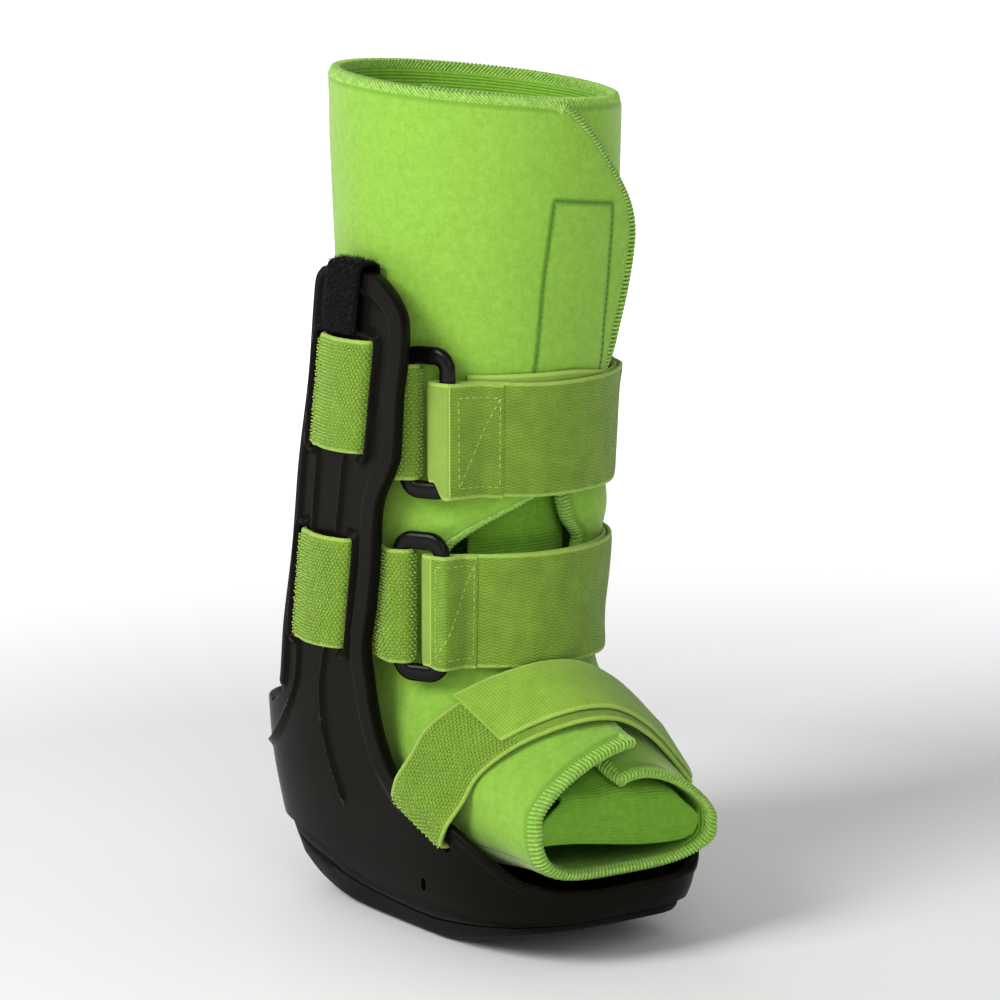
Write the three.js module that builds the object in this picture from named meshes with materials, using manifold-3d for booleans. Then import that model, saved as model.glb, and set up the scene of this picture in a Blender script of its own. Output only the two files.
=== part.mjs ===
// Medical walking boot: a padded liner held in a stiff moulded shell with two side struts,
// closed by two leg straps with loops and one foot strap.
// Millimetres. X runs across the boot with its right side at -X, the toe points to -Y, Z is up.
// While it is built, the leg's axis is at x = 0, y = 0 and the ground at z = 0.
import * as THREE from 'three';
import * as BufferGeometryUtils from 'three/addons/utils/BufferGeometryUtils.js';
import Module from 'manifold-3d';

const wasm = await Module();
wasm.setup();

// Room between pieces that touch
const clearance = 0.3;

// Shell
const toeReach = 89;
const heelReach = 76.5;
const shellHalfWidth = 52.6;
const shellWall = 3.6;
const shellSquareness = 3.6;
const floorHeight = 24;
const strutHeight = 223.4;
const strutWidth = 50;
const leftStrutSetback = 26;
const heelCupHeight = 66;
const toeRimHeight = 25.8;
const sideRimHeight = 43;
const reliefHeight = 1.2;
const frontBorderWidth = 7.5;
const backBorderWidth = 3;
const ribWidth = 2;
const drainHole = { length: 5.2, width: 2.4, y: -33, z: 21.2, lean: 20 };

// Outsole
const outsoleInset = 1.8;
const soleLowHeight = 12.6;
const soleLowPlace = 26;

// Liner
const rimHeight = 283.5;
const rimSlopeLeft = 3.2;
const legRoom = 0.6;
const legHalfWidth = shellHalfWidth - shellWall - legRoom;
const legHalfDepth = 48.4;
const linerWall = 5;
const soleWall = 3.6;
const lapGap = 0.6;
const toeSpring = 4.4;
const toeCornerDrop = 9;

// Tongue
const tongueWall = 2.6;
const tongueAngle = 38;
const tongueToeAngle = 62;
const tongueTop = 0.66;
const tongueToe = 0.03;
const curtainHeight = 42.5;

// Straps and loops
const strapThickness = 1.8;
const strapHeight = 37;
const upperStrapMiddle = 167.5;
const lowerStrapMiddle = 111;
const upperSlotDrop = 42.4;
const upperSlotMiddle = strutHeight - upperSlotDrop;
const upperSlotPlace = -0.4;
const lowerSlotMiddle = 114;
const lowerSlotPlace = 12.2;
const slotLean = 9;
const slotHeight = 39;
const backSlotWidth = 4.6;
const frontSlotWidth = 6.6;
const slotSpacing = 29.5;
const faceBulge = 1.6;
const ringHeight = 50;
const ringWidth = 20.5;
const ringBar = 4.2;
const ringEnd = 5;
const ringDepth = 3.6;
const ringLift = 0.4;
const ringCorner = 5.5;
const ringHoleCorner = 2.4;
const ringBevel = 0.9;
const upperRingAngle = -53;
const upperRingFacing = -64;
const upperRingRise = 6.5;
const lowerRingAngle = -57;
const lowerRingFacing = -62;
const lowerRingRise = 1.5;
const innerStrapStart = -38;
const strapSlack = 0.7;
const strapTail = 7;
const footFlare = 0.1;
const footUnderEnd = 0.84;
const footTopStart = -0.61;
const footPeek = 3.2;
const footStrapWidth = 26;
const footTopWidth = 24.5;
const footSlotLength = 30;
const footSlotWidth = 4.4;
const footSlotRise = 0.7;
const footSlot = { y: -37.2, z: sideRimHeight + footSlotRise, lean: 27 };
const hookTapeWidth = 18.5;
const hookTapeThickness = 1.5;
const hookTapePlace = -5;

// Plan of the shell at some heights: shares of the strut height, half width, toe reach and heel reach
const shellSections = [
  { height: -0.02, width: 0.760, toe: 0.880, heel: 0.860 },
  { height: 0.06, width: 0.800, toe: 0.955, heel: 0.920 },
  { height: 0.09, width: 0.835, toe: 0.985, heel: 0.955 },
  { height: 0.13, width: 0.870, toe: 1.000, heel: 0.985 },
  { height: 0.22, width: 0.935, toe: 1.000, heel: 1.015 },
  { height: 0.33, width: 0.980, toe: 1.020, heel: 1.015 },
  { height: 0.45, width: 1.000, toe: 1.060, heel: 1.050 },
  { height: 1.05, width: 1.000, toe: 1.060, heel: 1.100 },
];

// Lower edge of the shell from toe to heel: shares of the toe reach and of the lowest height
const soleLine = [
  { reach: -1.15, height: 1.50 },
  { reach: -0.96, height: 1.35 },
  { reach: -0.74, height: 1.18 },
  { reach: -0.50, height: 1.04 },
  { reach: -0.30, height: 1.00 },
  { reach: -0.11, height: 1.08 },
  { reach: 0.06, height: 1.22 },
  { reach: 0.20, height: 1.46 },
  { reach: 0.31, height: 1.75 },
  { reach: 0.45, height: 1.94 },
  { reach: 0.60, height: 2.03 },
  { reach: 1.00, height: 2.05 },
];

// Tread of the outsole from toe to heel: shares of the toe reach and of the lowest shell height
const treadLine = [
  { reach: -1.02, height: 1.20 },
  { reach: -0.92, height: 0.99 },
  { reach: -0.73, height: 0.66 },
  { reach: -0.51, height: 0.27 },
  { reach: -0.41, height: 0.11 },
  { reach: -0.31, height: 0.00 },
  { reach: 0.24, height: 0.00 },
  { reach: 0.38, height: 0.12 },
  { reach: 0.51, height: 0.36 },
  { reach: 0.62, height: 0.68 },
  { reach: 0.70, height: 1.06 },
  { reach: 0.78, height: 1.60 },
];

// Front edge of a strut, from the top down: shares of its height above the side rim and of its width
const strutFront = [
  { height: 0.9950, reach: -0.300 },
  { height: 0.9839, reach: -0.424 },
  { height: 0.9468, reach: -0.622 },
  { height: 0.9133, reach: -0.690 },
  { height: 0.8464, reach: -0.678 },
  { height: 0.7783, reach: -0.630 },
  { height: 0.6656, reach: -0.588 },
  { height: 0.6359, reach: -0.530 },
  { height: 0.5876, reach: -0.414 },
  { height: 0.5455, reach: -0.370 },
  { height: 0.4526, reach: -0.338 },
  { height: 0.3821, reach: -0.292 },
  { height: 0.3040, reach: -0.228 },
  { height: 0.2483, reach: -0.256 },
  { height: 0.1827, reach: -0.300 },
  { height: 0.1307, reach: -0.364 },
  { height: 0.0898, reach: -0.446 },
  { height: 0.0588, reach: -0.560 },
];

// Back edge of a strut, from the bottom up: shares of its height above the side rim and of its width
const strutBack = [
  { height: 0.1331, reach: 1.080 },
  { height: 0.1554, reach: 0.920 },
  { height: 0.1951, reach: 0.825 },
  { height: 0.3102, reach: 0.730 },
  { height: 0.4564, reach: 0.600 },
  { height: 0.6235, reach: 0.504 },
  { height: 0.7882, reach: 0.374 },
  { height: 0.9282, reach: 0.306 },
  { height: 0.9728, reach: 0.270 },
  { height: 0.9926, reach: 0.190 },
];

// Rim between strut and toe: shares of the toe reach and of the side rim's height
const sideRim = [
  { reach: -0.400, height: 1.150 },
  { reach: -0.500, height: 1.090 },
  { reach: -0.580, height: 1.040 },
  { reach: -0.650, height: 0.967 },
  { reach: -0.721, height: 0.877 },
  { reach: -0.779, height: 0.793 },
  { reach: -0.861, height: 0.688 },
  { reach: -0.930, height: 0.635 },
];

// Floor inside the shell from toe to heel: shares of the toe reach and of the floor's height in front
const floorLine = [
  { reach: -1.30, height: 1.00 },
  { reach: -0.25, height: 1.00 },
  { reach: 0.40, height: 1.21 },
  { reach: 1.30, height: 1.21 },
];

// Raised ribs on the strut and heel: shares of the strut's width and of its height above the side rim
const ribLines = [
  [{ reach: 0.288, height: 0.6446 }, { reach: 0.356, height: 0.4985 }],
  [{ reach: -0.018, height: 0.6421 }, { reach: 0.072, height: 0.4985 }],
  [
    { reach: 0.562, height: 0.2731 },
    { reach: 0.600, height: 0.2161 },
    { reach: 0.746, height: 0.1480 },
    { reach: 1.032, height: 0.0737 },
    { reach: 1.300, height: 0.0403 },
    { reach: 1.700, height: 0.0279 },
  ],
  [
    { reach: 0.236, height: 0.2731 },
    { reach: 0.304, height: 0.2013 },
    { reach: 0.290, height: 0.1047 },
    { reach: 0.158, height: -0.0031 },
  ],
];

// Sections of the liner from the toe to the top of the leg. front is the section's top or front
// point and back is its sole or back point, each as shares of the leg's half depth along Y and
// of the rim's height along Z. width is a share of the leg's half width. crown and base say how
// square the two halves are. over and under are the angles of the two flap edges in degrees.
// lap is how deep the under flap lies below the over flap, as a share of the liner's wall.
const linerColumns = ['frontY', 'frontZ', 'backY', 'backZ', 'width', 'crown', 'base', 'over', 'under', 'lap'];
const linerSections = [
  [-1.730, 0.262, -1.750, 0.0862, 0.760, 1.42, 3.6, 12, -9, 2.05],
  [-1.600, 0.265, -1.640, 0.0862, 0.765, 1.46, 3.3, 14, -12, 1.8],
  [-1.420, 0.277, -1.380, 0.0862, 0.790, 1.50, 2.9, 15, -15, 1.35],
  [-1.180, 0.297, -1.000, 0.0862, 0.830, 1.52, 2.8, 15, -18, 1.08],
  [-0.962, 0.314, -0.560, 0.0862, 0.848, 1.62, 2.8, 15, -18, 1],
  [-0.886, 0.328, 0.060, 0.0960, 0.856, 1.76, 2.7, 14, -18, 1],
  [-0.879, 0.346, 0.700, 0.1065, 0.860, 1.88, 2.5, 14, -18, 1],
  [-0.878, 0.364, 1.200, 0.1140, 0.863, 1.96, 2.3, 13, -18, 1],
  [-0.880, 0.383, 1.400, 0.1600, 0.868, 2.00, 2.2, 10, -16, 1],
  [-0.880, 0.402, 1.370, 0.2250, 0.874, 2, 2.1, 2, -10, 1],
  [-0.880, 0.422, 1.220, 0.2950, 0.880, 2, 2.05, -16, 6, 1],
  [-0.880, 0.444, 1.100, 0.3550, 0.884, 2, 2, -38, 24, 1],
  [-0.882, 0.466, 1.030, 0.4080, 0.884, 2, 2, -47, 33, 1],
  [-0.885, 0.488, 0.985, 0.4480, 0.885, 2, 2, -36, 23, 1],
  [-0.888, 0.510, 0.960, 0.4820, 0.887, 2, 2, -18, 17, 1],
  [-0.892, 0.532, 0.945, 0.5150, 0.890, 2, 2, 3, 14, 1],
  [-0.898, 0.552, 0.938, 0.5450, 0.893, 2, 2, 34, -10, 1],
  [-0.905, 0.575, 0.936, 0.5720, 0.898, 2, 2, 52, -45, 1],
  [-0.918, 0.620, 0.938, 0.6200, 0.908, 2, 2, 57, -60, 1],
  [-0.945, 0.700, 0.950, 0.7020, 0.930, 2, 2, 57, -60, 1],
  [-0.970, 0.780, 0.965, 0.7850, 0.955, 2, 2, 57, -60, 1],
  [-0.985, 0.850, 0.980, 0.8620, 0.980, 2, 2, 46, -60, 1],
  [-0.992, 0.897, 0.990, 0.9150, 0.993, 2, 2, 31, -60, 1],
  [-0.997, 0.932, 0.996, 0.9530, 0.998, 2, 2, 18, -60, 1],
  [-1.000, 0.960, 1.000, 0.9840, 1.000, 2, 2, 7, -60, 1],
  [-1.002, 0.977, 1.000, 1.0035, 1.000, 2, 2, -1, -60, 1],
].map((row) => Object.fromEntries(linerColumns.map((column, i) => [column, row[i]])));

// Middle line of the foot strap from the right slot over the instep to the left slot. across is
// a share of the shell's half width, rise a share of the crest's height above the slots and
// ahead a share of the strap's width, counted towards the toe along the slots' line.
const instep = linerSections[3];
const footStrapRoom = 2.45;
const footStrapCrest = (instep.frontZ * rimHeight + footStrapRoom - footSlot.z)
  / Math.cos(THREE.MathUtils.degToRad(footSlot.lean));
const footStrapLine = [
  { across: -0.955, rise: 0.125, ahead: 0.00 },
  { across: -0.950, rise: 0.200, ahead: 0.00 },
  { across: -0.868, rise: 0.340, ahead: -0.06 },
  { across: -0.770, rise: 0.515, ahead: -0.16 },
  { across: -0.605, rise: 0.720, ahead: -0.23 },
  { across: -0.390, rise: 0.862, ahead: -0.16 },
  { across: -0.160, rise: 0.980, ahead: -0.04 },
  { across: 0.040, rise: 1.000, ahead: 0.04 },
  { across: 0.200, rise: 0.950, ahead: 0.10 },
  { across: 0.380, rise: 0.835, ahead: 0.18 },
  { across: 0.530, rise: 0.700, ahead: 0.25 },
  { across: 0.665, rise: 0.560, ahead: 0.30 },
  { across: 0.800, rise: 0.420, ahead: 0.30 },
  { across: 0.885, rise: 0.315, ahead: 0.22 },
  { across: 0.945, rise: 0.215, ahead: 0.08 },
  { across: 0.955, rise: 0.125, ahead: 0.00 },
];

const radians = THREE.MathUtils.degToRad;
const ringPoints = 44;

// Value of a table's column at a place, on a smooth curve through its rows
function tableValue(rows, key, at, column) {
  const last = rows.length - 1;
  let i = 0;
  while (i < last - 1 && at > rows[i + 1][key]) {
    i += 1;
  }
  const slope = (k) => {
    const a = rows[Math.max(k - 1, 0)];
    const b = rows[Math.min(k + 1, last)];
    return (b[column] - a[column]) / (b[key] - a[key]);
  };
  const span = rows[i + 1][key] - rows[i][key];
  const t = THREE.MathUtils.clamp((at - rows[i][key]) / span, 0, 1);
  const h = t * t * (3 - 2 * t);
  const curve = (1 - t) * (1 - t) * t * slope(i) * span - t * t * (1 - t) * slope(i + 1) * span;
  return rows[i][column] * (1 - h) + rows[i + 1][column] * h + curve;
}

// Power that keeps its sign, for superellipses
function signedPower(value, power) {
  return Math.sign(value) * Math.abs(value) ** power;
}

function closedGeometry(points, faces) {
  const geometry = new THREE.BufferGeometry();
  const values = points.flatMap((p) => [p.x, p.y, p.z]);
  geometry.setAttribute('position', new THREE.Float32BufferAttribute(values, 3));
  geometry.setIndex(faces.flat());
  return geometry;
}

// Solid through a stack of closed rings of points, flat at both ends
function loft(rings) {
  const count = rings[0].length;
  const points = rings.flat();
  const faces = [];
  for (let k = 0; k < rings.length - 1; k += 1) {
    for (let i = 0; i < count; i += 1) {
      const a = k * count + i;
      const b = k * count + (i + 1) % count;
      faces.push([a, b, b + count], [a, b + count, a + count]);
    }
  }
  const middle = (ring) => ring.reduce((sum, p) => sum.add(p), new THREE.Vector3()).divideScalar(count);
  points.push(middle(rings[0]), middle(rings[rings.length - 1]));
  const top = (rings.length - 1) * count;
  for (let i = 0; i < count; i += 1) {
    faces.push([(i + 1) % count, i, points.length - 2]);
    faces.push([top + i, top + (i + 1) % count, points.length - 1]);
  }
  return closedGeometry(points, faces);
}

// Closed sheet between two grids of points, outer and inner, each a list of rows
function sheet(outer, inner) {
  const rows = outer.length;
  const columns = outer[0].length;
  const points = [...outer.flat(), ...inner.flat()];
  const under = rows * columns;
  const faces = [];
  const quad = (a, b, c, d) => faces.push([a, b, c], [a, c, d]);
  for (let j = 0; j < rows - 1; j += 1) {
    for (let i = 0; i < columns - 1; i += 1) {
      const a = j * columns + i;
      quad(a, a + 1, a + columns + 1, a + columns);
      quad(under + a, under + a + columns, under + a + columns + 1, under + a + 1);
    }
  }
  const rim = [];
  for (let i = 0; i < columns - 1; i += 1) {
    rim.push(i);
  }
  for (let j = 0; j < rows - 1; j += 1) {
    rim.push(j * columns + columns - 1);
  }
  for (let i = columns - 1; i > 0; i -= 1) {
    rim.push((rows - 1) * columns + i);
  }
  for (let j = rows - 1; j > 0; j -= 1) {
    rim.push(j * columns);
  }
  rim.forEach((a, k) => {
    const b = rim[(k + 1) % rim.length];
    quad(b, a, under + a, under + b);
  });
  return closedGeometry(points, faces);
}

// Prism across the boot, between two places in X, whose outline is given as (y, z) points
function prismAcross(outline, from, to) {
  const shape = new THREE.Shape(outline.map((p) => new THREE.Vector2(p.y, p.z)));
  const geometry = new THREE.ExtrudeGeometry(shape, { depth: to - from, bevelEnabled: false });
  const turn = new THREE.Matrix4().makeBasis(
    new THREE.Vector3(0, 1, 0), new THREE.Vector3(0, 0, 1), new THREE.Vector3(1, 0, 0));
  geometry.translate(0, 0, from);
  return geometry.applyMatrix4(turn);
}

function solidOf(geometry) {
  const bare = geometry.index ? geometry.clone() : BufferGeometryUtils.mergeVertices(geometry.clone());
  bare.deleteAttribute('normal');
  bare.deleteAttribute('uv');
  const merged = BufferGeometryUtils.mergeVertices(bare, 1e-4);
  return new wasm.Manifold(new wasm.Mesh({
    numProp: 3,
    vertProperties: new Float32Array(merged.attributes.position.array),
    triVerts: new Uint32Array(merged.index.array),
  }));
}

function geometryOf(solid) {
  const mesh = solid.getMesh();
  const geometry = new THREE.BufferGeometry();
  geometry.setAttribute('position', new THREE.BufferAttribute(mesh.vertProperties.slice(), 3));
  geometry.setIndex(Array.from(mesh.triVerts));
  return geometry;
}

// Strip of one width along (y, z) points, as an outline
function strip(points, width) {
  const sides = [[], []];
  points.forEach((p, i) => {
    const a = points[Math.max(i - 1, 0)];
    const b = points[Math.min(i + 1, points.length - 1)];
    const along = new THREE.Vector2(b.y - a.y, b.z - a.z).normalize();
    sides[0].push({ y: p.y - along.y * width / 2, z: p.z + along.x * width / 2 });
    sides[1].unshift({ y: p.y + along.y * width / 2, z: p.z - along.x * width / 2 });
  });
  return [...sides[1], ...sides[0]];
}

// Shell

const shellReaches = soleLine.map((row) => ({ y: row.reach * toeReach, z: row.height * soleLowHeight }));
const soleEdge = (y) => tableValue(shellReaches, 'y', y, 'z');

// How far a strut stands back at a height. side is 1 on the boot's left and -1 on its right.
function setback(side, z) {
  const share = THREE.MathUtils.smoothstep(z, 0.1 * strutHeight, 0.66 * strutHeight);
  return side > 0 ? leftStrutSetback * share : 0;
}

function strutLine(rows, side) {
  return rows.map((row) => {
    const z = THREE.MathUtils.lerp(sideRimHeight, strutHeight, row.height);
    return { y: row.reach * strutWidth + setback(side, z), z };
  });
}

// Ring of points on the shell's plan at a height, moved in by an inset
function shellRing(z, inset, count) {
  const at = z / strutHeight;
  const halfWidth = tableValue(shellSections, 'height', at, 'width') * shellHalfWidth - inset;
  const toe = tableValue(shellSections, 'height', at, 'toe') * toeReach - inset;
  const heel = tableValue(shellSections, 'height', at, 'heel') * heelReach - inset;
  const power = 2 / shellSquareness;
  return Array.from({ length: count }, (_, i) => {
    const angle = 2 * Math.PI * (i + 0.5) / count;
    const along = signedPower(Math.sin(angle), power);
    return new THREE.Vector3(
      halfWidth * signedPower(Math.cos(angle), power), along * (along < 0 ? toe : heel), z);
  });
}

// Place across the boot of a point on the shell's side, given its depth outside the outer face.
// Depths inside the wall or beyond it are negative.
function acrossAt(y, z, depth) {
  const value = (column) => tableValue(shellSections, 'height', z / strutHeight, column);
  const inset = THREE.MathUtils.clamp(-depth, 0, shellWall);
  const reach = (y < 0 ? value('toe') * toeReach : value('heel') * heelReach) - inset;
  const share = (1 - Math.abs(y / reach) ** shellSquareness) ** (1 / shellSquareness);
  return share * (value('width') * shellHalfWidth - inset) + depth + inset;
}

function shellLoft(heights, inset) {
  return solidOf(loft(heights.map((z) => shellRing(z, inset, ringPoints))));
}

// Side outline of the shell: sole edge, heel rim, back of the strut, its front, the rim to the toe
function shellOutline(side) {
  const beyond = 12;
  const sole = soleLine.map((row) => row.reach * toeReach).map((y) => ({ y, z: soleEdge(y) }));
  const rim = sideRim.map((row) => ({ y: row.reach * toeReach, z: row.height * sideRimHeight }));
  return [
    ...sole,
    { y: heelReach + beyond, z: heelCupHeight },
    ...strutLine(strutBack, side),
    ...strutLine(strutFront, side),
    ...rim,
    { y: -toeReach * 0.98, z: toeRimHeight },
    { y: -toeReach - beyond, z: toeRimHeight },
  ];
}

// Slot through the wall on one side, centred at (y, z), long along its lean from upright
function slotCutter(side, { y, z, lean }, length, width) {
  const box = new THREE.BoxGeometry(shellHalfWidth, width, length);
  box.rotateX(radians(lean));
  box.translate(side * shellHalfWidth, y, z);
  return solidOf(box);
}

// Middle and lean from upright, in degrees, of a strut's upper or lower pair of slots
const slotMiddles = {
  upper: { y: upperSlotPlace, z: upperSlotMiddle },
  lower: { y: lowerSlotPlace, z: lowerSlotMiddle },
};

function strutSlot(side, name) {
  const { y, z } = slotMiddles[name];
  const slope = (setback(side, z + 1) - setback(side, z - 1)) / 2;
  return { side, y: y + setback(side, z), z, lean: slotLean - THREE.MathUtils.radToDeg(Math.atan(slope)) };
}

const leanShift = (lean, dz) => -Math.tan(radians(lean)) * dz;

// Raised lip in front of a pair of slots
function slotLip(slot) {
  const lift = slotHeight / 2 + 1;
  const y = slot.y - slotSpacing / 2 - frontSlotWidth / 2 - ribWidth / 2;
  return strip([
    { y: y + leanShift(slot.lean, -lift), z: slot.z - lift },
    { y: y + leanShift(slot.lean, lift), z: slot.z + lift },
  ], ribWidth);
}

function shell() {
  const shares = [0, 0.045, 0.075, 0.105, 0.14, 0.18, 0.22, 0.275, 0.33, 0.39, 0.45, 0.75, 1.04];
  const heights = shares.map((share) => share * strutHeight);
  const inside = [0.6 * floorHeight, ...heights.filter((z) => z > 0.8 * floorHeight), strutHeight * 1.1];
  const span = 2 * shellHalfWidth;
  const both = (outlineOf) => solidOf(prismAcross(outlineOf(-1), -span, 0))
    .add(solidOf(prismAcross(outlineOf(1), -1, span)));
  const reliefs = [-1, 1].flatMap((side) => {
    const front = strutLine(strutFront, side);
    const back = strutLine(strutBack, side);
    return [
      strip(front, 2 * frontBorderWidth),
      strip(back.slice(2), 2 * backBorderWidth),
      strip([back[back.length - 1], front[0]], 2 * backBorderWidth),
      ...ribLines.map((line) => strip(strutLine(line, side), ribWidth)),
      slotLip(strutSlot(side, 'upper')),
      slotLip(strutSlot(side, 'lower')),
    ].map((lines) => solidOf(prismAcross(lines, Math.min(0, side * span), Math.max(0, side * span))));
  });
  const relief = reliefs.reduce((sum, piece) => sum.add(piece));
  let body = shellLoft(heights, 0);
  body = body.add(shellLoft(heights, -reliefHeight).intersect(relief));
  const floor = floorLine.map((row) => ({ y: row.reach * toeReach, z: row.height * floorHeight }));
  const above = [...floor, { y: 2 * toeReach, z: 2 * strutHeight }, { y: -2 * toeReach, z: 2 * strutHeight }];
  const hollow = shellLoft(inside, shellWall).intersect(solidOf(prismAcross(above, -span, span)));
  body = body.subtract(hollow).intersect(both(shellOutline));
  [-1, 1].forEach((side) => {
    ['upper', 'lower'].forEach((name) => {
      const pair = strutSlot(side, name);
      const front = { ...pair, y: pair.y - slotSpacing / 2 };
      const back = { ...pair, y: pair.y + slotSpacing / 2 };
      body = body.subtract(slotCutter(side, front, slotHeight, frontSlotWidth));
      body = body.subtract(slotCutter(side, back, slotHeight, backSlotWidth));
    });
    body = body.subtract(slotCutter(side, footSlot, footSlotWidth, footSlotLength));
    body = body.subtract(slotCutter(side, drainHole, drainHole.length, drainHole.width));
  });
  return geometryOf(body);
}

// Rocker outsole under the shell, from the tread line up to the shell's lower edge
function outsole() {
  const heights = [-1, 0.35, 0.75, 1.2, 2.2].map((share) => share * soleLowHeight);
  const rings = heights.map((z) => shellRing(z, outsoleInset + Math.max(0, 5 - z * 0.4), ringPoints));
  const top = shellReaches.map((p) => ({ y: p.y, z: p.z - clearance })).reverse();
  const tread = treadLine.map((row) => ({ y: row.reach * toeReach, z: row.height * soleLowHeight }));
  const outline = solidOf(prismAcross([...tread, ...top], -shellHalfWidth, shellHalfWidth));
  return geometryOf(solidOf(loft(rings)).intersect(outline));
}

// Liner

const linerRows = linerSections.map((row, i) => ({ ...row, place: i / (linerSections.length - 1) }));

// Section of the liner at a place from 0 at the toe to 1 at the top of the leg
function linerSection(place) {
  const value = (column) => tableValue(linerRows, 'place', place, column);
  const frontY = value('frontY') * legHalfDepth;
  const backY = value('backY') * legHalfDepth;
  const sole = value('backZ') * rimHeight;
  const spring = toeSpring * THREE.MathUtils.smoothstep(-backY, 0.5 * legHalfDepth, 1.75 * legHalfDepth);
  return {
    front: new THREE.Vector3(0, frontY, value('frontZ') * rimHeight),
    back: new THREE.Vector3(0, backY, sole + spring),
    halfWidth: value('width') * legHalfWidth,
    crown: value('crown'),
    base: value('base'),
    over: value('over'),
    under: value('under'),
    lap: value('lap') * (linerWall + lapGap),
    leg: THREE.MathUtils.smoothstep(place, 0.3, 0.5),
    rim: THREE.MathUtils.smoothstep(place, 0.8, 1),
    wrap: THREE.MathUtils.smoothstep(place, 0.6, 0.7),
    loose: THREE.MathUtils.smoothstep(place, 0.7, 0.86),
    toe: 1 - THREE.MathUtils.smoothstep(place, 0, 0.12),
    fall: 1 - THREE.MathUtils.smoothstep(place, 0.06, 0.24),
  };
}

// Point on a section at an angle from its front towards the boot's left, at a depth below the surface
function linerPoint(section, angle, depth) {
  const a = radians(angle);
  const along = section.back.clone().sub(section.front);
  const half = along.length() / 2;
  along.normalize();
  const squareness = Math.cos(a) > 0 ? section.crown : section.base;
  const power = 2 / squareness;
  const place = -signedPower(Math.cos(a), power) * (half - depth);
  const point = section.front.clone().addScaledVector(along, half + place);
  point.x = signedPower(Math.sin(a), power) * (section.halfWidth - depth);
  point.z -= section.rim * rimSlopeLeft * point.x / legHalfWidth;
  const corner = Math.max(0, point.x / section.halfWidth) ** 1.6;
  point.x *= 1 + 0.07 * section.toe * corner;
  const raised = THREE.MathUtils.smoothstep(point.z, 1.2 * floorHeight, 2.1 * floorHeight);
  point.z -= toeCornerDrop * section.fall * corner * raised;
  return point;
}

// Depth of the liner's outer face below its section at an angle. It is the lap's depth at the
// under flap's edge and runs out to nothing, or to minus the lap where the over flap stands off.
function lapDepth(section, angle) {
  const start = THREE.MathUtils.lerp(THREE.MathUtils.lerp(20, 60, section.wrap), -60, section.loose);
  const end = THREE.MathUtils.lerp(THREE.MathUtils.lerp(60, 105, section.wrap), 62, section.loose);
  const under = (turn) => section.lap * (1 - THREE.MathUtils.smoothstep(turn, start, end));
  return angle < 180 ? under(angle) : under(angle - 360) - section.lap;
}

function liner() {
  const columns = 29;
  const notch = linerRows.slice(8, 17).map((row) => row.place + 0.5 / (linerRows.length - 1));
  const places = [...linerRows.map((row) => row.place), ...notch].sort((a, b) => a - b);
  const grids = [0, linerWall].map((wall) => places.map((place) => {
    const section = linerSection(place);
    return Array.from({ length: columns }, (__, i) => {
      const angle = THREE.MathUtils.lerp(section.under, 360 + section.over, i / (columns - 1));
      const turn = ((angle % 360) + 360) % 360;
      const beside = THREE.MathUtils.smoothstep(Math.abs(turn - 180), 20, 70);
      const soleShare = (1 - section.leg) * (1 - beside);
      const inner = wall ? wall - soleShare * (linerWall - soleWall) : 0;
      return linerPoint(section, angle, lapDepth(section, angle) + inner);
    });
  }));
  return sheet(grids[0], grids[1]);
}

// Grid of a sheet's middle points given its thickness: each point moves both ways along its normal
function thicken(grid, thickness) {
  const inside = (index, list) => Math.min(Math.max(index, 0), list.length - 1);
  const at = (j, i) => grid[inside(j, grid)][inside(i, grid[0])];
  const faces = [1, -1].map((side) => grid.map((row, j) => row.map((p, i) => {
    const along = at(j, i + 1).clone().sub(at(j, i - 1));
    const down = at(j + 1, i).clone().sub(at(j - 1, i));
    const normal = new THREE.Vector3().crossVectors(along, down).normalize();
    return p.clone().addScaledVector(normal, side * thickness / 2);
  })));
  return sheet(faces[0], faces[1]);
}

// Tongue under the two flaps, from the notch at the ankle down to the toe. It then hangs down inside
// the toe opening as a curtain, whose rows are shares of the liner's half width at the toe, of the
// room between the tongue and the curtain's lower edge, and of its wall ahead of the tongue's end.
const curtainRows = [
  { width: 0.80, drop: 0.16, ahead: 0.62 },
  { width: 0.81, drop: 0.42, ahead: 0.92 },
  { width: 0.80, drop: 0.72, ahead: 0.96 },
  { width: 0.76, drop: 1.00, ahead: 0.77 },
];

function tongue() {
  const columns = 9;
  const steps = 13;
  const grid = Array.from({ length: steps }, (_, j) => {
    const share = j / (steps - 1);
    const section = linerSection(THREE.MathUtils.lerp(tongueTop, tongueToe, share));
    const nearToe = THREE.MathUtils.smoothstep(share, 0.45, 1);
    const spread = THREE.MathUtils.lerp(tongueAngle, tongueToeAngle, nearToe);
    return Array.from({ length: columns }, (__, i) => {
      const angle = spread * (2 * i / (columns - 1) - 1);
      const lap = section.lap * (1 - THREE.MathUtils.smoothstep(Math.abs(angle), 30, 80));
      return linerPoint(section, angle, lap + linerWall + tongueWall / 2 + 5 * clearance);
    });
  });
  const last = grid[grid.length - 1];
  const toe = linerSection(tongueToe);
  curtainRows.forEach((row) => grid.push(last.map((p, i) => {
    const across = 2 * i / (columns - 1) - 1;
    return new THREE.Vector3(
      THREE.MathUtils.lerp(p.x, across * row.width * toe.halfWidth, Math.min(1, row.drop * 1.6)),
      p.y - row.ahead * tongueWall,
      THREE.MathUtils.lerp(p.z, curtainHeight, row.drop));
  })));
  return thicken(grid, tongueWall);
}

// Leg straps

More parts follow.
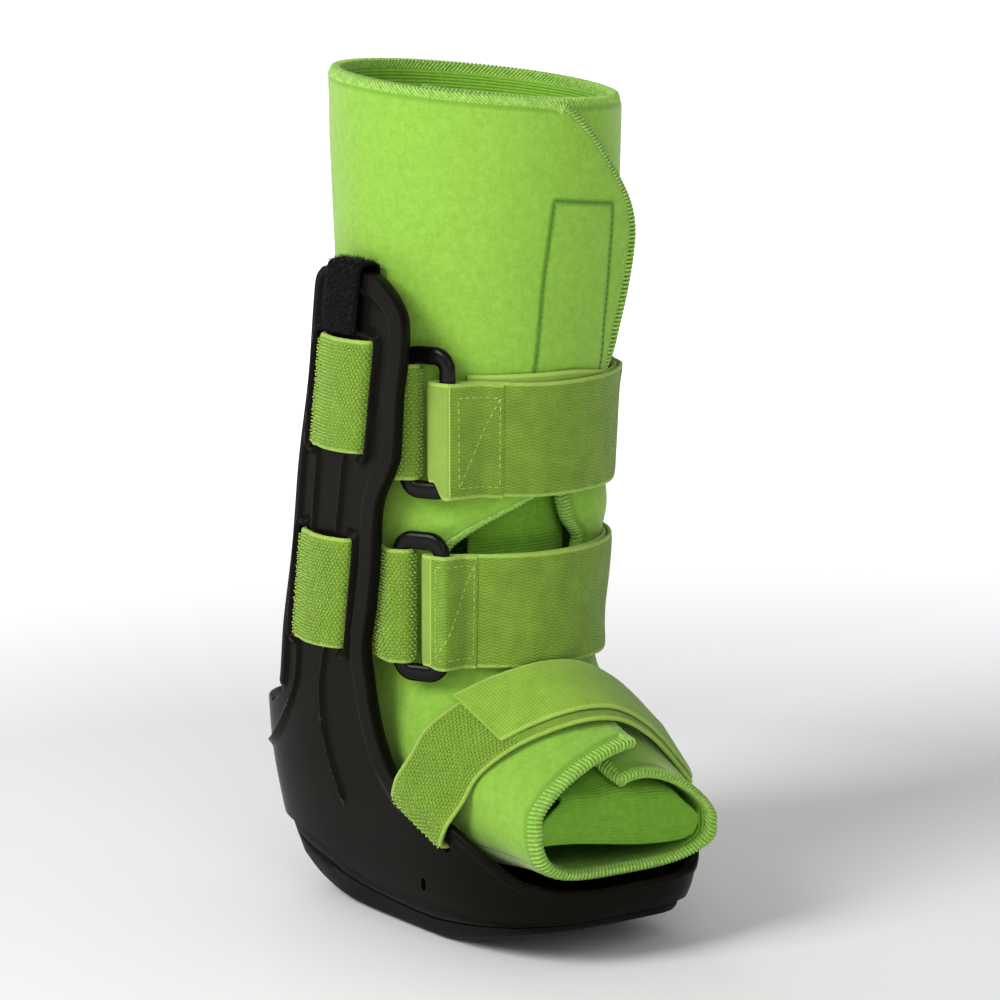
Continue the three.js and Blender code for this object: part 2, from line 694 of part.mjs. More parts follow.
// Distance from the leg's axis to the liner at an angle from the front towards the boot's left
function legRadius(angle, z) {
  let turn = angle;
  let point;
  for (let k = 0; k < 4; k += 1) {
    let low = 0.16;
    let high = 1;
    for (let n = 0; n < 16; n += 1) {
      const middle = (low + high) / 2;
      const section = linerSection(middle);
      const depth = lapDepth(section, Math.min(turn, section.over) + 360);
      point = linerPoint(section, turn, Math.min(0, depth));
      low = point.z < z ? middle : low;
      high = point.z < z ? high : middle;
    }
    turn += angle - THREE.MathUtils.radToDeg(Math.atan2(point.x, -point.y));
  }
  return Math.hypot(point.x, point.y);
}

// Plan point around the leg at an angle from its front towards the boot's left
function aroundLeg(angle, radius) {
  return { x: radius * Math.sin(radians(angle)), y: -radius * Math.cos(radians(angle)) };
}

// Angle whose direction is stretched to an oval of a half width and a half depth
function ovalAngle(angle, halfWidth, halfDepth) {
  const a = radians(angle);
  return THREE.MathUtils.radToDeg(Math.atan2(halfWidth * Math.sin(a), halfDepth * Math.cos(a)));
}

// Plan point at a distance off the liner. Its angle is that of the leg's oval, whose half width and
// half depth may differ.
function besideLeg(angle, z, off) {
  const turned = ovalAngle(angle, legHalfWidth, legHalfDepth);
  return aroundLeg(turned, legRadius(turned, z) + off);
}

// Plan places moved sideways by a distance, or each by its own, to the right of the way they run
function movedAside(places, distance) {
  return places.map((p, i) => {
    const a = places[i - 1] ?? p;
    const b = places[i + 1] ?? p;
    const come = new THREE.Vector2(p.x - a.x, p.y - a.y).normalize();
    const go = new THREE.Vector2(b.x - p.x, b.y - p.y).normalize();
    const along = come.clone().add(go).normalize();
    const step = (distance ?? p.lift ?? 0) / Math.max(0.7, along.dot(b === p ? come : go));
    return { ...p, x: p.x + along.y * step, y: p.y - along.x * step };
  });
}

// Upright strap of constant height and thickness along places. A place lies either on the leg, at
// an angle, or free in plan with how far it leans with the strut. lift moves it off that line.
// The last guides only show which way the strap runs at its end.
function legStrap(places, guides = 0) {
  const rows = [-0.5, 0, 0.5].map((share) => {
    const dz = share * strapHeight;
    return movedAside(places.map((p) => {
      const at = { ...p, y: p.y + leanShift(p.lean ?? 0, dz), z: p.z + dz };
      if (p.side) {
        return { ...at, x: p.side * acrossAt(at.y, at.z, p.depth) };
      }
      const onLeg = p.angle !== undefined;
      return onLeg ? { ...at, ...besideLeg(p.angle, at.z, layerOff) } : at;
    })).slice(0, places.length - guides);
  });
  const faces = [1, -1].map((side) => rows.map((row) => movedAside(row, side * strapThickness / 2)
    .map((p) => new THREE.Vector3(p.x, p.y, p.z))));
  return sheet(faces[0], faces[1]);
}

const strapRoom = clearance + strapThickness / 2;
const layerStep = strapThickness + clearance;
const layerOff = strapRoom + strapSlack;
const ringHalf = (ringWidth - ringBar) / 2;

const legStraps = {
  upper: {
    middle: upperStrapMiddle,
    name: 'upper',
    ring: { angle: upperRingAngle, facing: upperRingFacing, height: upperStrapMiddle + upperRingRise },
    leave: 72,
    step: 2.2,
  },
  lower: {
    middle: lowerStrapMiddle,
    name: 'lower',
    ring: { angle: lowerRingAngle, facing: lowerRingFacing, height: lowerStrapMiddle + lowerRingRise },
    leave: 80,
    step: 0,
  },
};

// Place and directions of the loop that joins a strap to its anchor
function ringFrame(strap) {
  const { angle, facing, height } = strap.ring;
  const centre = besideLeg(angle, height, layerOff + layerStep + ringDepth / 2 + ringLift);
  const out = aroundLeg(ovalAngle(facing, legHalfDepth, legHalfWidth), 1);
  const along = { x: -out.y, y: out.x };
  const bar = (side) => ({
    x: centre.x + along.x * ringHalf * side,
    y: centre.y + along.y * ringHalf * side,
  });
  return { centre, out, along, left: bar(-1), right: bar(1), height };
}

// Half turn of a strap round a bar, from its outer side through the loop's hole to its inner side
function turnRoundBar(bar, frame, towards, z) {
  const depth = ringDepth / 2 + strapRoom + 0.3;
  const breadth = ringBar / 2 + strapRoom + 0.4;
  const turn = [90, 60, 30, 0, -30, -60, -90].map((degrees) => [
    Math.sin(radians(degrees)) * depth, Math.cos(radians(degrees)) * breadth]);
  return [[depth, -ringBar / 2 - 0.3], ...turn, [-depth, -ringBar / 2]].map(([out, side]) => ({
    x: bar.x + frame.out.x * out + frame.along.x * side * towards,
    y: bar.y + frame.out.y * out + frame.along.y * side * towards,
    z,
  }));
}

// Strap woven through a strut's slots: from inside the front slot, over the face and back in
// through the back slot. Places are depths from the wall's outer face, and reaches along it.
function throughStrut(slot) {
  const front = slot.y - slotSpacing / 2;
  const back = slot.y + slotSpacing / 2 - backSlotWidth / 2 + strapRoom + 0.1;
  const outer = strapRoom + 0.5;
  const inner = -shellWall - strapRoom - 0.7;
  const middle = -shellWall / 2;
  const half = (outer - inner) / 2;
  const places = [
    [inner - 0.3, front - 4.6], [middle - 1.9, front - 1.2], [middle, front], [middle + 1.9, front + 1.2],
    [outer, front + 4.4], [outer + faceBulge, slot.y - 3], [outer + faceBulge, slot.y + 4],
    [outer, back - 3.2], [outer, back - 1.4], [middle + half * 0.7, back - 0.1], [middle, back + 0.2],
    [middle - half * 0.7, back - 0.1], [inner, back - 1.4], [inner, back - strapTail],
  ];
  return places.map(([depth, y]) => ({ side: slot.side, depth, y, z: slot.z, lean: slot.lean }));
}

// Strap on the boot's right, woven through the strut and turned round the loop's back bar
function strapAnchor(strap) {
  const frame = ringFrame(strap);
  const turn = turnRoundBar(frame.left, frame, 1, frame.height);
  const woven = throughStrut(strutSlot(-1, strap.name)).reverse();
  return legStrap([...woven, ...turn]);
}

// Plan of the strap that lies on the front of the leg and runs on to the left strut
function overLeg(strap, from) {
  const steps = 9;
  const onLeg = Array.from({ length: steps }, (_, i) => ({
    angle: THREE.MathUtils.lerp(from, strap.leave, i / (steps - 1)),
    z: strap.middle,
  }));
  const slot = strutSlot(1, strap.name);
  const woven = throughStrut(slot);
  const z = strap.middle;
  const leave = besideLeg(strap.leave, z, layerOff);
  const free = [0.33, 0.67].map((share) => ({
    x: THREE.MathUtils.lerp(leave.x, slot.side * acrossAt(woven[0].y, slot.z, woven[0].depth), share),
    y: THREE.MathUtils.lerp(leave.y, woven[0].y, share),
    z: THREE.MathUtils.lerp(z, slot.z, share),
    lean: share * slot.lean,
  }));
  return { onLeg, free, woven };
}

// Inner strap, woven through the left strut and laid over the front of the leg
function strapInner(strap) {
  const { onLeg, free, woven } = overLeg(strap, innerStrapStart);
  const last = onLeg.length - 1;
  const raised = onLeg.map((p, i) => ({ ...p, z: p.z + strap.step * (1 - i / last) }));
  return legStrap([...raised, ...free, ...woven]);
}

// Outer strap: its sewn tail, the turn round the loop's front bar and the run over the front
function strapOuter(strap) {
  const frame = ringFrame(strap);
  const { onLeg, free } = overLeg(strap, innerStrapStart);
  const z = strap.middle;
  const tail = [-24, -29, -35].map((angle) => ({ angle, lift: -2.1 * layerStep, z }));
  const turn = turnRoundBar(frame.right, frame, -1, frame.height);
  const run = [...onLeg, ...free].map((p) => ({ ...p, lift: layerStep + 0.1 }));
  return legStrap([...tail, ...turn, ...run], 1);
}

// Rectangular loop with rounded corners
function roundedRectangle(path, width, height, radius) {
  const x = width / 2 - radius;
  const y = height / 2 - radius;
  path.absarc(x, y, radius, 0, Math.PI / 2);
  path.absarc(-x, y, radius, Math.PI / 2, Math.PI);
  path.absarc(-x, -y, radius, Math.PI, 1.5 * Math.PI);
  path.absarc(x, -y, radius, 1.5 * Math.PI, 2 * Math.PI);
  return path;
}

function ring(strap) {
  const edge = 2 * ringBevel;
  const shape = roundedRectangle(new THREE.Shape(), ringWidth - edge, ringHeight - edge, ringCorner);
  shape.holes.push(roundedRectangle(new THREE.Path(),
    ringWidth - 2 * ringBar + edge, ringHeight - 2 * ringEnd + edge, ringHoleCorner));
  const geometry = new THREE.ExtrudeGeometry(shape, {
    depth: ringDepth - edge,
    bevelThickness: ringBevel,
    bevelSize: ringBevel,
    bevelSegments: 1,
    curveSegments: 3,
  });
  geometry.translate(0, 0, -(ringDepth - edge) / 2);
  const frame = ringFrame(strap);
  const turn = new THREE.Matrix4().makeBasis(
    new THREE.Vector3(frame.along.x, frame.along.y, 0),
    new THREE.Vector3(0, 0, 1),
    new THREE.Vector3(frame.out.x, frame.out.y, 0));
  turn.setPosition(frame.centre.x, frame.centre.y, frame.height);
  return geometryOf(solidOf(geometry.applyMatrix4(turn)));
}

// Foot strap

// Strap of constant width across the foot. across, rise and ahead are measured from the slots'
// middle: across the boot, square to the slots' line and along it towards the toe.
function footBand(places, width) {
  const lean = radians(footSlot.lean);
  const ahead = new THREE.Vector3(0, -Math.cos(lean), -Math.sin(lean));
  const up = new THREE.Vector3(0, -Math.sin(lean), Math.cos(lean));
  const faces = [1, -1].map((side) => [0.5, -0.5].map((share) => {
    const flare = (rise) => 1 - footFlare * share * (0.6 + 0.4 * THREE.MathUtils.smoothstep(rise, 0, 20));
    const line = places.map((p) => ({ ...p, x: p.across * flare(p.rise), y: p.rise }));
    return movedAside(line, -side * strapThickness / 2)
      .map((p) => new THREE.Vector3(p.x, footSlot.y, footSlot.z).addScaledVector(up, p.y)
        .addScaledVector(ahead, p.ahead + share * width));
  }));
  return sheet(faces[0], faces[1]);
}

const footPlaces = footStrapLine.map((row) => ({
  across: row.across * shellHalfWidth, rise: row.rise * footStrapCrest, ahead: row.ahead * footStrapWidth }));

// Turn of the foot strap through a slot round the rim above it, from outside to inside
function footTurn(side) {
  const outer = footPlaces[footPlaces.length - 1].across - 0.2;
  const inner = outer - shellWall - 2 * strapRoom - 2.0;
  const middle = (outer + inner) / 2;
  const places = [
    [outer, 2.4], [outer - 0.7, 0.9], [middle + 1.7, 0],
    [middle - 1.7, 0], [inner + 0.7, 0.9], [inner, 2.4], [inner, 4.4],
  ];
  return places.map(([x, rise]) => ({ across: side * x, rise, ahead: 0 }));
}

// Band with the hook face, from the right slot over the instep, under the top band, where it
// shows along the top band's lower edge
function footStrapUnder() {
  const peek = (across) => footPeek * THREE.MathUtils.smoothstep(across / shellHalfWidth, -0.8, footTopStart);
  const over = footPlaces.filter((p) => p.across < footUnderEnd * shellHalfWidth)
    .map((p) => ({ ...p, ahead: p.ahead + peek(p.across) }));
  return footBand([...footTurn(-1).reverse(), ...over], footStrapWidth);
}

// Bare band on top, from the instep's right side to the left slot
function footStrapTop() {
  const upper = footPlaces.filter((p) => p.across > footTopStart * shellHalfWidth)
    .map((p) => ({ ...p, x: p.across, y: p.rise }));
  const past = (share) => THREE.MathUtils.smoothstep(share, footUnderEnd, footUnderEnd + 0.15);
  const lift = (share) => (layerStep + 0.5) * (1 - past(share));
  const moved = upper.map((p, i) => movedAside(upper, -lift(p.across / shellHalfWidth))[i]);
  const over = moved.map((p) => ({ across: p.x, rise: p.y, ahead: p.ahead }));
  return footBand([...over, ...footTurn(1)], footTopWidth);
}

// Hook tape folded over the top of a strut. Places are depths from the wall's outer face, and heights.
function hookTape(side) {
  const room = clearance + hookTapeThickness / 2;
  const outer = reliefHeight + room + 0.2;
  const inner = -shellWall - room - 0.1;
  const top = strutHeight + room;
  const bottom = upperSlotMiddle + slotHeight / 2 + 1.2;
  const places = [
    [inner, bottom], [inner, top - 1.4], [inner + 1.3, top],
    [outer - 1.3, top], [outer, top - 1.4], [outer, bottom],
  ].map(([x, y]) => ({ x, y }));
  const middle = hookTapePlace + setback(side, strutHeight);
  const row = (face, share) => movedAside(places, -face * hookTapeThickness / 2).map((p) => {
    const y = middle + share * hookTapeWidth + leanShift(slotLean, p.y - strutHeight);
    return new THREE.Vector3(side * acrossAt(y, p.y, p.x), y, p.y);
  });
  const faces = [1, -1].map((face) => [-0.5, 0, 0.5].map((share) => row(face, share)));
  return side > 0 ? sheet(faces[0], faces[1]) : sheet(faces[1], faces[0]);
}

const group = new THREE.Group();

function addPiece(name, geometry, color, roughness) {
  const material = new THREE.MeshStandardMaterial({ color, roughness, metalness: 0 });
  const mesh = new THREE.Mesh(geometry, material);
  mesh.name = name;
  group.add(mesh);
}

const shellBlack = 0x231f1c;
const strapGreen = 0x8db43c;

addPiece('shell', shell(), shellBlack, 0.45);
addPiece('outsole', outsole(), 0x1d1b19, 0.6);
addPiece('liner', liner(), 0x86c63f, 0.95);
addPiece('tongue', tongue(), 0x6fb033, 0.95);
Object.entries(legStraps).forEach(([name, strap]) => {
  addPiece(`${name}_ring`, ring(strap), shellBlack, 0.35);
  addPiece(`${name}_anchor_strap`, strapAnchor(strap), strapGreen, 0.9);
  addPiece(`${name}_inner_strap`, strapInner(strap), strapGreen, 0.9);
  addPiece(`${name}_outer_strap`, strapOuter(strap), strapGreen, 0.85);
});
addPiece('foot_strap_under', footStrapUnder(), strapGreen, 0.9);
addPiece('foot_strap_top', footStrapTop(), strapGreen, 0.85);
addPiece('right_hook_tape', hookTape(-1), 0x0c0c0c, 0.95);
addPiece('left_hook_tape', hookTape(1), 0x0c0c0c, 0.95);

const middle = new THREE.Box3().setFromObject(group).getCenter(new THREE.Vector3());
group.position.set(-middle.x, -middle.y, 0);

export default group;
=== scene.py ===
"""Medical walking boot: moulded shell and sole, padded knit liner and tongue, woven straps with loops.

Every shape is worked out in millimetres about the leg's axis, with the ground at z = 0, the toe
towards -Y and the boot's right side at -X. place_in_frame moves it into the part's frame in metres.
"""
import bpy
import numpy as np
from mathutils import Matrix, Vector


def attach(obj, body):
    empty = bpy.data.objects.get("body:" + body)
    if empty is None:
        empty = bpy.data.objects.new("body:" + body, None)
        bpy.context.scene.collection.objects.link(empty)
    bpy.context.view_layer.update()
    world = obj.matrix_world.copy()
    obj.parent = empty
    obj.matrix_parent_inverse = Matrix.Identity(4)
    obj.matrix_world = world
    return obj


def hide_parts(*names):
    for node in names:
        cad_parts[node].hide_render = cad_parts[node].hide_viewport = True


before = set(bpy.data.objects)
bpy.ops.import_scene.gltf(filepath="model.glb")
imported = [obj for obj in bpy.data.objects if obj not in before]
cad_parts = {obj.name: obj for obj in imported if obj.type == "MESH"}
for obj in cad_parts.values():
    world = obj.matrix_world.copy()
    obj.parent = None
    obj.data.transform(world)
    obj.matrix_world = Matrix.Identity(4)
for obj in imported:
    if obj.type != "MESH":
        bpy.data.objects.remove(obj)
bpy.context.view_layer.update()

MM = 0.001
# Where the leg's axis stands in the part's frame, in millimetres
AXIS_ACROSS = 0.0775
AXIS_SHIFT = 4.8654

# Shell and sole
TOE_REACH = 89.0
HEEL_REACH = 76.5
SHELL_HALF_WIDTH = 52.6
SHELL_WALL = 3.6
SQUARENESS = 3.6
FLOOR_HEIGHT = 24.0
STRUT_HEIGHT = 223.4
STRUT_WIDTH = 50.0
LEFT_SETBACK = 28.5
STRUT_FOOT_FRONT = 53.6
STRUT_FOOT_BACK = 67.0
HEEL_CUP_HEIGHT = 66.0
SIDE_RIM_HEIGHT = 43.0
RELIEF = 1.2
FRONT_BORDER = 7.5
BACK_BORDER = 3.0
SOLE_LOW = 12.6
SOLE_INSET = 1.8
DRAIN_HOLE = {"y": -33, "z": 21.2, "height": 5.2, "width": 2.4, "lean": 20, "corner": 2.2}

# Liner
RIM_HEIGHT = 283.5
RIM_SLOPE_LEFT = 3.2
LEG_HALF_WIDTH = 48.4
LINER_WALL = 5.0
SOLE_WALL = 3.6
LAP_GAP = 0.6
TOE_SPRING = 4.4
TOE_CORNER_DROP = 9.0
FLAP_LIFT = 3.8
FLAP_EDGE_START = 150.4
TOE_BULGE = 3.2
TOE_SEAM_TURN = 61
OVERLOCK_REACH = 4.3
OVERLOCK_STAND = 0.45

# Tongue
TONGUE_WALL = 2.6
TONGUE_ANGLE = 38.0
TONGUE_TOE_ANGLE = 62.0
TONGUE_TOP = 0.66
TONGUE_TOE = 0.03
CURTAIN_HEM_RIGHT = 43.6
CURTAIN_HEM_LEFT = 37.6

# Straps and loops
STRAP_THICKNESS = 1.8
STRAP_HEIGHT = 37.0
SLOT_LEAN = 9.0
SLOT_HEIGHT = 39.0
SLOT_CORNER = 9
BACK_SLOT = 4.6
FRONT_SLOT = 5.0
FRONT_SHIFT = 1.2
SLOT_SPACING = 29.5
FACE_BULGE = 1.6
RING_HEIGHT = 50.0
RING_WIDTH = 20.5
RING_BAR = 5.4
RING_END = 6.0
RING_DEPTH = 3.6
RING_CORNER = 4.6
RING_LIFT = 0.4
CLEARANCE = 0.3
STRAP_ROOM = CLEARANCE + STRAP_THICKNESS / 2
RING_OFF = STRAP_ROOM + 0.7 + STRAP_THICKNESS + CLEARANCE + RING_DEPTH / 2 + RING_LIFT
STRAP_OFF = STRAP_THICKNESS / 2 + 0.45
LAYER = STRAP_THICKNESS + 0.12
FOOT_SLOT = {"y": -37.2, "z": 43.7, "height": 4.4, "width": 30.0, "lean": 27.0, "corner": 5}
FOOT_WIDTH = 26.0
FOOT_TOP_WIDTH = 24.5
FOOT_CREST = 48.2
FOOT_FLARE = 0.1
FOOT_UNDER_END = 0.84
FOOT_TOP_START = -0.61
FOOT_PEEK = 3.2
TAPE_WIDTH = 18.5
TAPE_THICKNESS = 1.5
TAPE_PLACE = -5.0

# Each leg strap: heights of its middle and of its turn round the loop, place of its slots, loop's angle,
# facing and height, angles where it leaves the leg and where its tail ends, and its sewn end
STRAPS = {
    "upper": {"middle": 167.5, "slot": (-0.4, 181.0), "ring": (-53.0, -64.0, 174.0), "leave": 72.0,
              "step": 2.9, "turn": 168.8, "tail": -24.0, "fold": 19.4, "box": (1.2, 16.5, 0.09, 0.885)},
    "lower": {"middle": 111.0, "slot": (12.2, 114.0), "ring": (-57.0, -62.0, 112.5), "leave": 80.0,
              "step": 0.0, "turn": 111.4, "tail": -34.0, "fold": 17.2, "box": (0.9, 15.4, 0.08, 0.92)},
}
PLAIN_END = 33.0
# Tail of an over band behind its loop: angle on from its start, share of the rise to the turn, and layers
# below the band
TAIL = ((0, 0.2, 1.2), (-5, 0.5, 1.6), (-11, 0.8, 2.05))

# Plan of the shell at some heights: shares of the strut height, half width, toe reach and heel reach
SHELL_SECTIONS = {
    "height": [-0.02, 0.06, 0.09, 0.13, 0.22, 0.33, 0.45, 1.05],
    "width": [0.760, 0.800, 0.835, 0.870, 0.935, 0.980, 1.000, 1.000],
    "toe": [0.880, 0.955, 0.985, 1.000, 1.000, 1.020, 1.060, 1.060],
    "heel": [0.860, 0.920, 0.955, 0.985, 1.015, 1.015, 1.050, 1.100],
}
# Lower edge of the shell, tread of the sole, side rim, edges of a strut and its ribs, in the shares
# that the solids use
SOLE_LINE = ([-1.15, -0.96, -0.74, -0.50, -0.30, -0.11, 0.06, 0.20, 0.31, 0.45, 0.60, 1.00],
             [1.50, 1.35, 1.18, 1.04, 1.00, 1.08, 1.22, 1.46, 1.75, 1.94, 2.03, 2.05])
TREAD_LINE = ([-1.02, -0.92, -0.73, -0.51, -0.41, -0.31, 0.24, 0.38, 0.51, 0.62, 0.70, 0.78],
              [1.20, 0.99, 0.66, 0.27, 0.11, 0.00, 0.00, 0.12, 0.36, 0.68, 1.06, 1.60])
SIDE_RIM = ([-1.20, -0.98, -0.930, -0.861, -0.779, -0.721, -0.650, -0.580, -0.500, -0.400],
            [0.600, 0.600, 0.635, 0.688, 0.793, 0.877, 0.967, 1.040, 1.090, 1.150])
STRUT_FRONT = ([0.240, 0.265, 0.298, 0.340, 0.393, 0.438, 0.501, 0.558, 0.633, 0.667, 0.706, 0.730,
                0.821, 0.876, 0.930, 0.957, 0.987, 0.996],
               [-0.560, -0.446, -0.364, -0.300, -0.256, -0.228, -0.292, -0.338, -0.370, -0.414, -0.530,
                -0.588, -0.630, -0.678, -0.690, -0.622, -0.424, -0.300])
STRUT_BACK = ([0.300, 0.318, 0.350, 0.443, 0.561, 0.696, 0.829, 0.942, 0.978, 0.994],
              [1.080, 0.920, 0.825, 0.730, 0.600, 0.504, 0.374, 0.306, 0.270, 0.190])
RIBS = [
    [(0.288, 0.713), (0.356, 0.595)],
    [(-0.018, 0.711), (0.072, 0.595)],
    [(0.562, 0.413), (0.600, 0.367), (0.746, 0.312), (1.032, 0.252), (1.300, 0.225), (1.700, 0.215)],
    [(0.236, 0.413), (0.304, 0.355), (0.290, 0.277), (0.158, 0.190)],
]

# Free edge of the over flap from the upper strap to the rim: heights, and angles round the leg
FLAP_EDGE = ([150, 156, 164, 176, 188, 200, 212, 229, 240, 247, 254, 261, 267, 273, 278],
             [3, 26, 35, 38, 38, 39, 40, 40, 37.5, 33, 27, 20.5, 14, 6.5, -1])
# Outline of the patch sewn behind the over flap: angle round the leg and height, millimetres along the
# leg's round for each degree, and how its stitches are spaced
PATCH = np.array([(-4.3, 245.4), (23.5, 243.0), (29.0, 178.0), (-11.0, 178.0), (-4.3, 245.4)])
PATCH_ROUND = 0.9
PATCH_PITCH = 2.1
PATCH_STITCH = 1.25

# Rows of the hanging curtain: share of the toe's width, share of the drop, and how far it stands ahead
CURTAIN = ((0.83, 0.16, 1.6), (0.85, 0.42, 2.4), (0.84, 0.72, 2.5), (0.79, 1.00, 2.0))

# Columns of a shell side from toe to heel, rows below and above the rim, and rows of a coarse band
TOE_COLUMNS, STRUT_COLUMNS, HEEL_COLUMNS = 60, 108, 34
LOW_ROWS, HIGH_ROWS = 30, 132
BAND_ROWS = 9

# Sections of the liner from the toe to the top of the leg, in the shares that the solids use
LINER_COLUMNS = ("frontY", "frontZ", "backY", "backZ", "width", "crown", "base", "over", "under", "lap")
LINER_SECTIONS = np.array([
    (-1.730, 0.262, -1.750, 0.0862, 0.760, 1.42, 3.6, 12, -9, 2.05),
    (-1.600, 0.265, -1.640, 0.0862, 0.765, 1.46, 3.3, 14, -12, 1.8),
    (-1.420, 0.277, -1.380, 0.0862, 0.790, 1.50, 2.9, 15, -15, 1.35),
    (-1.180, 0.297, -1.000, 0.0862, 0.830, 1.52, 2.8, 15, -18, 1.08),
    (-0.962, 0.314, -0.560, 0.0862, 0.848, 1.62, 2.8, 15, -18, 1),
    (-0.886, 0.328, 0.060, 0.0960, 0.856, 1.76, 2.7, 14, -18, 1),
    (-0.879, 0.346, 0.700, 0.1065, 0.860, 1.88, 2.5, 14, -18, 1),
    (-0.878, 0.364, 1.200, 0.1140, 0.863, 1.96, 2.3, 13, -18, 1),
    (-0.880, 0.383, 1.400, 0.1600, 0.868, 2.00, 2.2, 10, -16, 1),
    (-0.880, 0.402, 1.370, 0.2250, 0.874, 2, 2.1, 2, -10, 1),
    (-0.880, 0.422, 1.220, 0.2950, 0.880, 2, 2.05, -16, 6, 1),
    (-0.880, 0.444, 1.100, 0.3550, 0.884, 2, 2, -38, 24, 1),
    (-0.882, 0.466, 1.030, 0.4080, 0.884, 2, 2, -47, 33, 1),
    (-0.885, 0.488, 0.985, 0.4480, 0.885, 2, 2, -36, 23, 1),
    (-0.888, 0.510, 0.960, 0.4820, 0.887, 2, 2, -18, 17, 1),
    (-0.892, 0.532, 0.945, 0.5150, 0.890, 2, 2, 3, 14, 1),
    (-0.898, 0.552, 0.938, 0.5450, 0.893, 2, 2, 34, -10, 1),
    (-0.905, 0.575, 0.936, 0.5720, 0.898, 2, 2, 52, -45, 1),
    (-0.918, 0.620, 0.938, 0.6200, 0.908, 2, 2, 57, -60, 1),
    (-0.945, 0.700, 0.950, 0.7020, 0.930, 2, 2, 57, -60, 1),
    (-0.970, 0.780, 0.965, 0.7850, 0.955, 2, 2, 57, -60, 1),
    (-0.985, 0.850, 0.980, 0.8620, 0.980, 2, 2, 46, -60, 1),
    (-0.992, 0.897, 0.990, 0.9150, 0.993, 2, 2, 31, -60, 1),
    (-0.997, 0.932, 0.996, 0.9530, 0.998, 2, 2, 18, -60, 1),
    (-1.000, 0.960, 1.000, 0.9840, 1.000, 2, 2, 7, -60, 1),
    (-1.002, 0.977, 1.000, 1.0035, 1.000, 2, 2, -1, -60, 1),
])

# Middle line of the foot strap: across, rise and ahead, in the shares that the solids use
FOOT_LINE = np.array([
    (-0.955, 0.125, 0.00), (-0.950, 0.200, 0.00), (-0.868, 0.340, -0.06), (-0.770, 0.515, -0.16),
    (-0.605, 0.720, -0.23), (-0.390, 0.862, -0.16), (-0.160, 0.980, -0.04), (0.040, 1.000, 0.04),
    (0.200, 0.950, 0.10), (0.380, 0.835, 0.18), (0.530, 0.700, 0.25), (0.665, 0.560, 0.30),
    (0.800, 0.420, 0.30), (0.885, 0.315, 0.22), (0.945, 0.215, 0.08), (0.955, 0.125, 0.00),
])


# Numbers and curves

def smooth(value, low, high):
    """Smooth step: 3 t squared minus 2 t cubed, where t runs from 0 at low to 1 at high."""
    t = np.clip((value - low) / (high - low), 0, 1)
    return t * t * (3 - 2 * t)


def mix(a, b, share):
    """Value between a and b: a plus a share of the way to b."""
    return a + (b - a) * share


def curve(keys, values, at):
    """Cubic through (keys, values), its slope at each key the chord between the two neighbours."""
    keys, values, at = (np.asarray(v, float) for v in (keys, values, at))
    last = len(keys) - 1
    i = np.clip(np.searchsorted(keys, at, side="left") - 1, 0, last - 1)
    before, after = np.maximum(np.arange(last + 1) - 1, 0), np.minimum(np.arange(last + 1) + 1, last)
    slope = (values[after] - values[before]) / (keys[after] - keys[before])
    span = keys[i + 1] - keys[i]
    t = np.clip((at - keys[i]) / span, 0, 1)
    h = t * t * (3 - 2 * t)
    bend = (1 - t) ** 2 * t * slope[i] * span - t * t * (1 - t) * slope[i + 1] * span
    return values[i] * (1 - h) + values[i + 1] * h + bend


def signed_power(value, power):
    """Power of the size of a value, with the value's sign."""
    return np.sign(value) * np.abs(value) ** power


def unit(vectors):
    """Vectors divided by their lengths."""
    return vectors / np.maximum(np.linalg.norm(vectors, axis=-1, keepdims=True), 1e-9)


def resampled(points, count, axis=0):
    """Points on the smooth curve through the given ones, evenly spaced along its length."""
    points = np.moveaxis(np.asarray(points, float), axis, 0)
    steps = np.linalg.norm(np.diff(points, axis=0), axis=-1)
    steps = steps.reshape(len(steps), -1).mean(axis=1)
    keys = np.concatenate([[0], np.cumsum(np.maximum(steps, 1e-6))])
    at = np.linspace(0, keys[-1], count)
    flat = points.reshape(len(points), -1)
    fine = np.stack([curve(keys, column, at) for column in flat.T], axis=-1)
    return np.moveaxis(fine.reshape((count,) + points.shape[1:]), 0, axis), at


def run_length(points):
    """Distance run along a line of points."""
    return np.concatenate([[0], np.cumsum(np.linalg.norm(np.diff(points, axis=0), axis=1))])


def along_line(at, keys, rows):
    """Rows of a table met between its keys, by straight lines."""
    return np.stack([np.interp(at, keys, column) for column in rows.T], axis=-1)


def angle_round(points):
    """Angle of points round the leg, from its front towards the boot's left, in degrees."""
    return np.degrees(np.arctan2(points[..., 0], -points[..., 1]))


def length_along(points, axis):
    """Distance run along an axis of a grid of points, averaged over the other axis."""
    steps = np.linalg.norm(np.diff(points, axis=axis), axis=-1).mean(axis=1 - axis)
    return np.concatenate([[0], np.cumsum(steps)])


def wander(points, size, seed):
    """Slow smooth noise between -1 and 1: a sum of sine waves in seeded directions and phases."""
    rng = np.random.default_rng(seed)
    total = np.zeros(points.shape[:-1])
    for _ in range(7):
        direction = unit(rng.normal(size=3)) * 2 * np.pi / (size * rng.uniform(0.7, 1.5))
        total += np.sin(points @ direction + rng.uniform(0, 2 * np.pi))
    return total / 4


# Meshes

def place_in_frame(points):
    """Points moved from the leg's axis to the part's frame, and from millimetres to metres."""
    return (np.asarray(points, float).reshape(-1, 3) + (AXIS_ACROSS, AXIS_SHIFT, 0)) * MM


def grid_faces(rows, columns, wrap=False, flip=False, start=0):
    """Four-cornered faces of a grid of points that is stored row by row."""
    j, i = np.meshgrid(np.arange(rows - 1), np.arange(columns if wrap else columns - 1), indexing="ij")
    k, low, high = (i + 1) % columns, j * columns, (j + 1) * columns
    faces = np.stack([low + i, low + k, high + k, high + i], axis=-1).reshape(-1, 4) + start
    return faces[:, ::-1] if flip else faces


